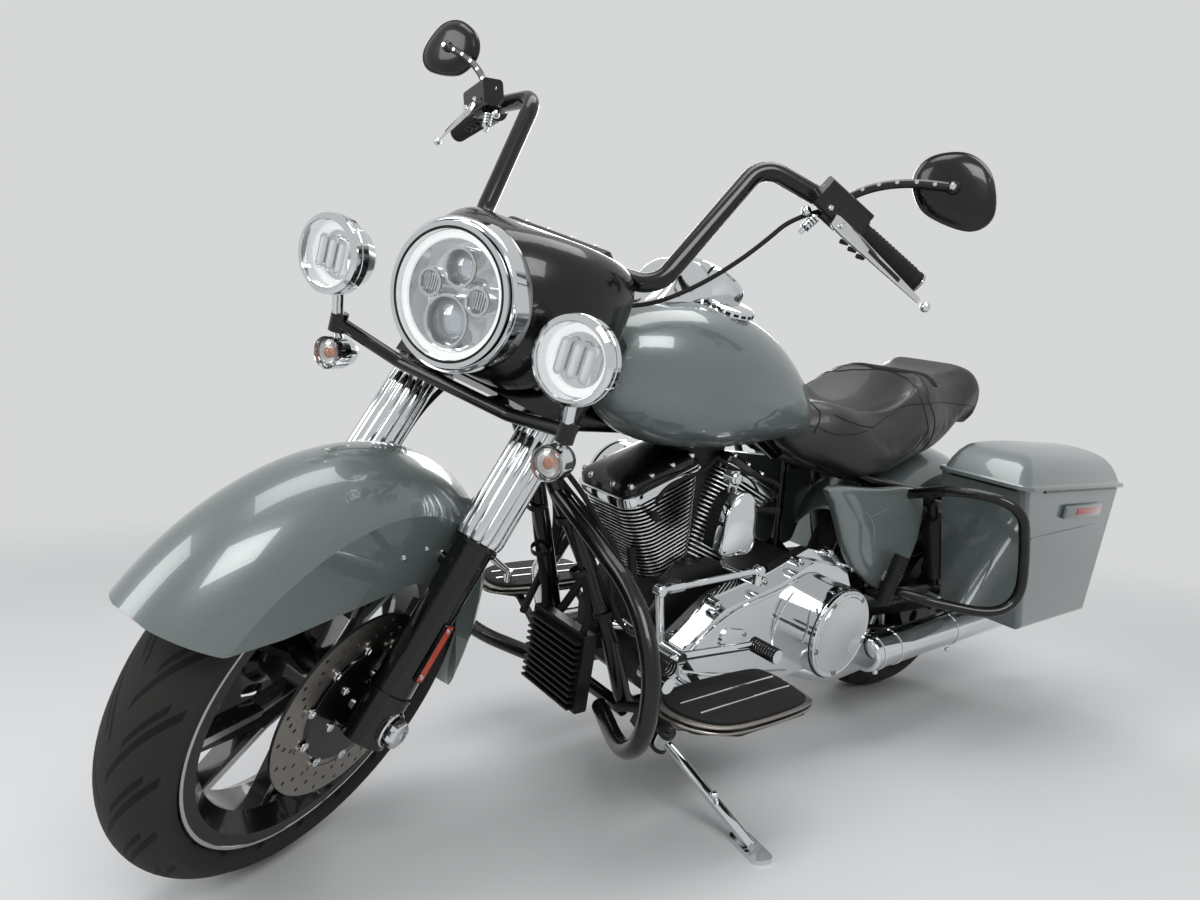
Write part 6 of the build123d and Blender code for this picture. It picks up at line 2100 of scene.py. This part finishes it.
@dataclass
class Tail:
    """Lenses, bright rims, the bare plate and the small fittings of the rear end."""

    def build(self) -> None:
        """Makes the pieces."""
        place = Place(Body.CHASSIS, (-444, 0, 560), (-1, 0, 0), (0, 1, 0))
        lens = turned([
            (-20, 46), (-4, 45), (2, 42), (8, 34), (11, 22), (12, 10), (12.2, 1),
        ], 64)
        place.settle(lens, "tail_lens", Finish.RED, 24)
        rim = ring_of([(-16, 48), (-14, 51.4), (-4, 50), (-1, 47.4), (-3, 45.5)], 64)
        place.settle(rim, "tail_rim", Finish.CHROME)
        lenses, rims = [], []
        for side in (1, -1):
            at = facing((-420, side * 160, 560), (-1, 0, 0))
            lenses.append(spread(turned([
                (-6, 25), (4, 24), (8, 20), (10.6, 12), (11.4, 5), (11.6, 1)], 48), [at]))
            rims.append(spread(ring_of([
                (-8, 26.4), (-6, 28.4), (1, 27.8), (3, 25.8), (1, 24.6)], 48), [at]))
        place = Place(Body.CHASSIS)
        place.settle(lenses, "rear_signal_lenses", Finish.RED, 24)
        place.settle(rims, "rear_signal_rims", Finish.CHROME)
        plate = block((1.6, 168, 92), 0.7, (-439.6, 0, 420))
        place.settle(plate, "bare_plate", Finish.DIAL, 40, slot="alloy")
        bolts = spread(
            screw_head(6, 4), [facing((-440, side * 70, 456), (-1, 0, 0)) for side in (1, -1)])
        place.settle(bolts, "plate_bolts", Finish.CHROME)
        bands = []
        for side in (1, -1):
            line = Vector((-860, 0, 22)).normalized()
            for x in (404, 330, 60, -386):
                z = 258 + (430 - x) * 22 / 860
                bands.append(put(ring_of([
                    (-7, 41.4), (-6, 43), (6, 43),
                    (7, 41.4)], 64), (x, side * 232, z), tuple(line)))
            bands.append(put(ring_of([
                (-2, 31), (0, 33.8), (4, 34.6), (6, 33), (5, 30),
                (-2, 29.6)], 64), (-446, side * 232, 280.4), tuple(line)))
            nose = turned([(-2, 41.2), (2, 40.6), (5, 38), (6.6, 34), (7.2, 28), (7.4, 1)], 64)
            bands.append(put(nose, (430, side * 232, 258), tuple(-line)))
            for x in (404, 60):
                bands.append(put(screw_head(6, 8), (x, side * 250, 220), (0, side * 0.4, -0.9)))
        place.settle(bands, "muffler_bands", Finish.CHROME, 30)
        # a dark disc in each muffler's outlet: painted shade in the bore
        bore_shade = joined([
            put(
                turned([(0, 28.6), (-1, 28.6), (-1.2, 1)], 48), (-440, side * 232, 280.2),
                (-1, 0, 0.025)) for side in (1, -1)])
        place.settle(bore_shade, "muffler_bore_painted_shade", Finish.DARK)


@dataclass
class FenderTrim:
    """Mounting screws of the front fender."""

    def build(self) -> None:
        """Makes the screws."""
        place = Place(Body.STEERING, (1640, 0, 330), (0, 1, 0), (1, 0, 0))
        screws = []
        for side in (1, -1):
            for x, z in ((1504, 548), (1548, 566), (1600, 566)):
                screws.append(facing((x - 1640, -(z - 330), side * 92), (0, 0, side)))
        place.settle(spread(screw_head(4.6, 2.2), screws), "front_fender_screws", Finish.CHROME)


@dataclass
class StandTrim:
    """The side stand's return spring."""

    def build(self) -> None:
        """Makes the spring on the frame side."""
        coil = []
        for step in range(15 * 8):
            angle = tau * step / 8
            coil.append((8 * cos(angle), 8 * sin(angle), step * 0.62))
        spring = pipe(coil, 1.5, 3, 2)
        place = Place(Body.CHASSIS, (1000, 168, 176), (-0.96, 0.1, -0.2), (0, 0, 1))
        place.settle(spring, "stand_spring", Finish.STEEL)


# ---- studio ----
@dataclass
class Studio:
    """Floor, backdrop, lamps and camera.

    Attributes:
        eye: camera place in the upright frame.
        yaw: degrees from +X in the model's frame.
        pitch: degrees above the horizon.
        roll: degrees about the line of sight.
        lens: focal length on a 36 mm wide sensor.
        tone: sRGB hex of the backdrop.
        lamps: name, place, aim, width, height and watts of each softbox.
    """

    eye: Point = (2.04587, 1.10007, 0.92680)
    yaw: float = 230.6
    pitch: float = -2.76
    roll: float = -3.04
    lens: float = 23.21
    tone: str = "D6D7D8"
    lamps: List[tuple] = field(default_factory=lambda: [
        # name, place, aim, width, height, watts
        ("key_softbox", (1.6, 3.2, 3.0), (0.0, 0.0, 0.5), 2.4, 1.6, 95.0),
        ("front_softbox", (3.8, -0.6, 2.4), (0.3, 0.0, 0.6), 1.8, 2.2, 55.0),
        ("top_softbox", (0.0, 0.2, 4.0), (0.0, 0.0, 0.0), 3.6, 1.6, 70.0),
        ("rim_softbox", (-2.6, -2.8, 2.2), (0.0, 0.0, 0.6), 2.0, 1.4, 50.0),
    ])

    def build(self) -> None:
        """Makes the whole set."""
        self._floor()
        self._world()
        for row in self.lamps:
            self._lamp(*row)
        self._camera()

    def _floor(self) -> None:
        """Adds the plain floor, which fades into the backdrop's tone away from the machine."""
        select_none()
        bpy.ops.mesh.primitive_plane_add(size=60.0, location=(0, 0, 0))
        floor = bpy.context.object
        floor.name = "studio_floor"
        material, tree, place = empty("matt_studio_paper")
        shader = node(
            tree, "ShaderNodeBsdfPrincipled", Roughness=0.85,
            Base_Color=ramp(tree, noise(tree, place, 1.5, 4.0), [(0.3, "CDCECF"), (0.7, "D1D2D3")]),
        )
        # from 1.5 m out the paper takes on the backdrop's own tone
        away = node(tree, "ShaderNodeVectorMath", {0: place}, operation="LENGTH")
        fade = node(
            tree, "ShaderNodeMapRange", {"Value": away.outputs["Value"]},
            interpolation_type="SMOOTHSTEP",
            From_Min=1.5, From_Max=4.2, To_Min=0.0, To_Max=1.0,
        )
        paper = node(tree, "ShaderNodeEmission", Color=srgb(self.tone), Strength=1.0)
        mix = node(tree, "ShaderNodeMixShader", {
            0: maths(tree, "MULTIPLY", fade.outputs[0], self._seen(tree)), 1: shader.outputs[0],
            2: paper.outputs[0],
        })
        node(tree, "ShaderNodeOutputMaterial", {"Surface": mix.outputs[0]})
        floor.data.materials.append(material)

    @staticmethod
    def _seen(tree: NodeTree) -> NodeSocket:
        """Returns 1 for what the camera sees, directly, in chrome or through glass."""
        rays = node(tree, "ShaderNodeLightPath").outputs
        direct = maths(tree, "MAXIMUM", rays["Is Camera Ray"], rays["Is Glossy Ray"])
        return maths(tree, "MAXIMUM", direct, rays["Is Transmission Ray"])

    def _world(self) -> None:
        """Lights the set from all round; the backdrop seen directly or in chrome is pale."""
        world = bpy.data.worlds.new("studio_air")
        bpy.context.scene.world = world
        world.use_nodes = True
        tree = world.node_tree
        tree.nodes.clear()
        room = node(tree, "ShaderNodeBackground", Color=srgb("C8CACC"), Strength=0.5)
        backdrop = node(tree, "ShaderNodeBackground", Color=srgb(self.tone), Strength=1.0)
        mix = node(tree, "ShaderNodeMixShader", {
            0: self._seen(tree), 1: room.outputs[0], 2: backdrop.outputs[0],
        })
        node(tree, "ShaderNodeOutputWorld", {"Surface": mix.outputs[0]})

    def _lamp(
        self, name: str, place: Point, aim: Point, width: float, height: float, watts: float,
    ) -> None:
        """Adds one softbox.

        Args:
            name: the lamp's name.
            place: where it hangs.
            aim: the point it faces.
            width: its width in metres.
            height: its height in metres.
            watts: its power.
        """
        bpy.ops.object.light_add(type="AREA", location=place)
        lamp = bpy.context.object
        lamp.name = name
        lamp.data.shape = "RECTANGLE"
        lamp.data.size, lamp.data.size_y = width, height
        lamp.data.energy = watts
        lamp.rotation_euler = (Vector(aim) - Vector(place)).to_track_quat("-Z", "Y").to_euler()

    def _camera(self) -> None:
        """Adds the camera at its solved place and angles."""
        yaw, pitch, roll = (radians(v) for v in (self.yaw, self.pitch, self.roll))
        look = Vector((cos(pitch) * cos(yaw), cos(pitch) * sin(yaw), sin(pitch)))
        right = look.cross(Vector((0, 0, 1))).normalized()
        up = right.cross(look)
        turn = Matrix.Rotation(roll, 3, look)
        right, up = turn @ right, turn @ up
        data = bpy.data.cameras.new("view")
        camera = bpy.data.objects.new("view", data)
        bpy.context.scene.collection.objects.link(camera)
        data.lens = self.lens
        data.sensor_width = 36.0
        data.clip_end = 200.0
        rotation = Matrix((right, up, -look)).transposed().to_4x4()
        camera.matrix_world = Matrix.Translation(PLACE[Body.CHASSIS] @ Vector(self.eye)) @ rotation
        bpy.context.scene.camera = camera


ASSEMBLIES = (
    Wheel(
        "front", Body.FRONT_WHEEL, (1625.0, 0.0, 319.0), 241.0, 106.0, "front_tyre", 65.0,
        (93.0, -93.0)),
    Wheel("rear", Body.REAR_WHEEL, (0.0, 0.0, 325.0), 228.0, 152.0, "rear_tyre", 90.0, (-113.0,)),
    Cord("clutch_cable_sheath", Place(Body.STEERING), (
        (1074, 350, 1222), (1090, 312, 1196), (1112, 290, 1148), (1142, 262, 1096),
        (1182, 224, 1040),
        (1226, 178, 992), (1268, 130, 970), (1312, 92, 972),
    ), 8.0, 453.0, ("clutch_cable",)),
    Headlamp(),
    AuxLamp(1),
    AuxLamp(-1),
    Mirrors(),
    HandControls(),
    Fork(),
    Cylinder("front_cylinder", 22.5),
    Cylinder("rear_cylinder", -22.5),
    HornCover(),
    PrimarySide(),
    EngineTrim(),
    FootGear(),
    Dash(),
    BarCover(),
    Seat(),
    SaddlebagTrim(1),
    SaddlebagTrim(-1),
    TubeGuards("bag_guards", (
        (300, 150, 612), (300, 300, 668), (262, 424, 664), (196, 424, 560), (150, 424, 440),
        (206, 400, 392),
        (300, 280, 392), (330, 172, 392),
    ), 12.0, 62.0),
    TubeGuards("engine_guard", (
        (1234, 40, 612), (1228, 150, 560), (1222, 268, 500), (1228, 338, 400), (1228, 338, 290),
        (1196, 262, 222), (1120, 112, 214),
    ), 16.0, 90.0),
    SideCover(1),
    SideCover(-1),
    Tail(),
    FenderTrim(),
    StandTrim(),
)


def main() -> None:
    """Builds every sub-assembly in order, then the studio."""
    logging.basicConfig(level=logging.INFO, format="%(name)s %(message)s")
    bpy.context.scene.view_settings.view_transform = "Standard"
    dress_packed()
    for assembly in ASSEMBLIES:
        LOG.info("building %s", type(assembly).__name__)
        assembly.build()
    Studio().build()


if __name__ == "__main__":
    main()
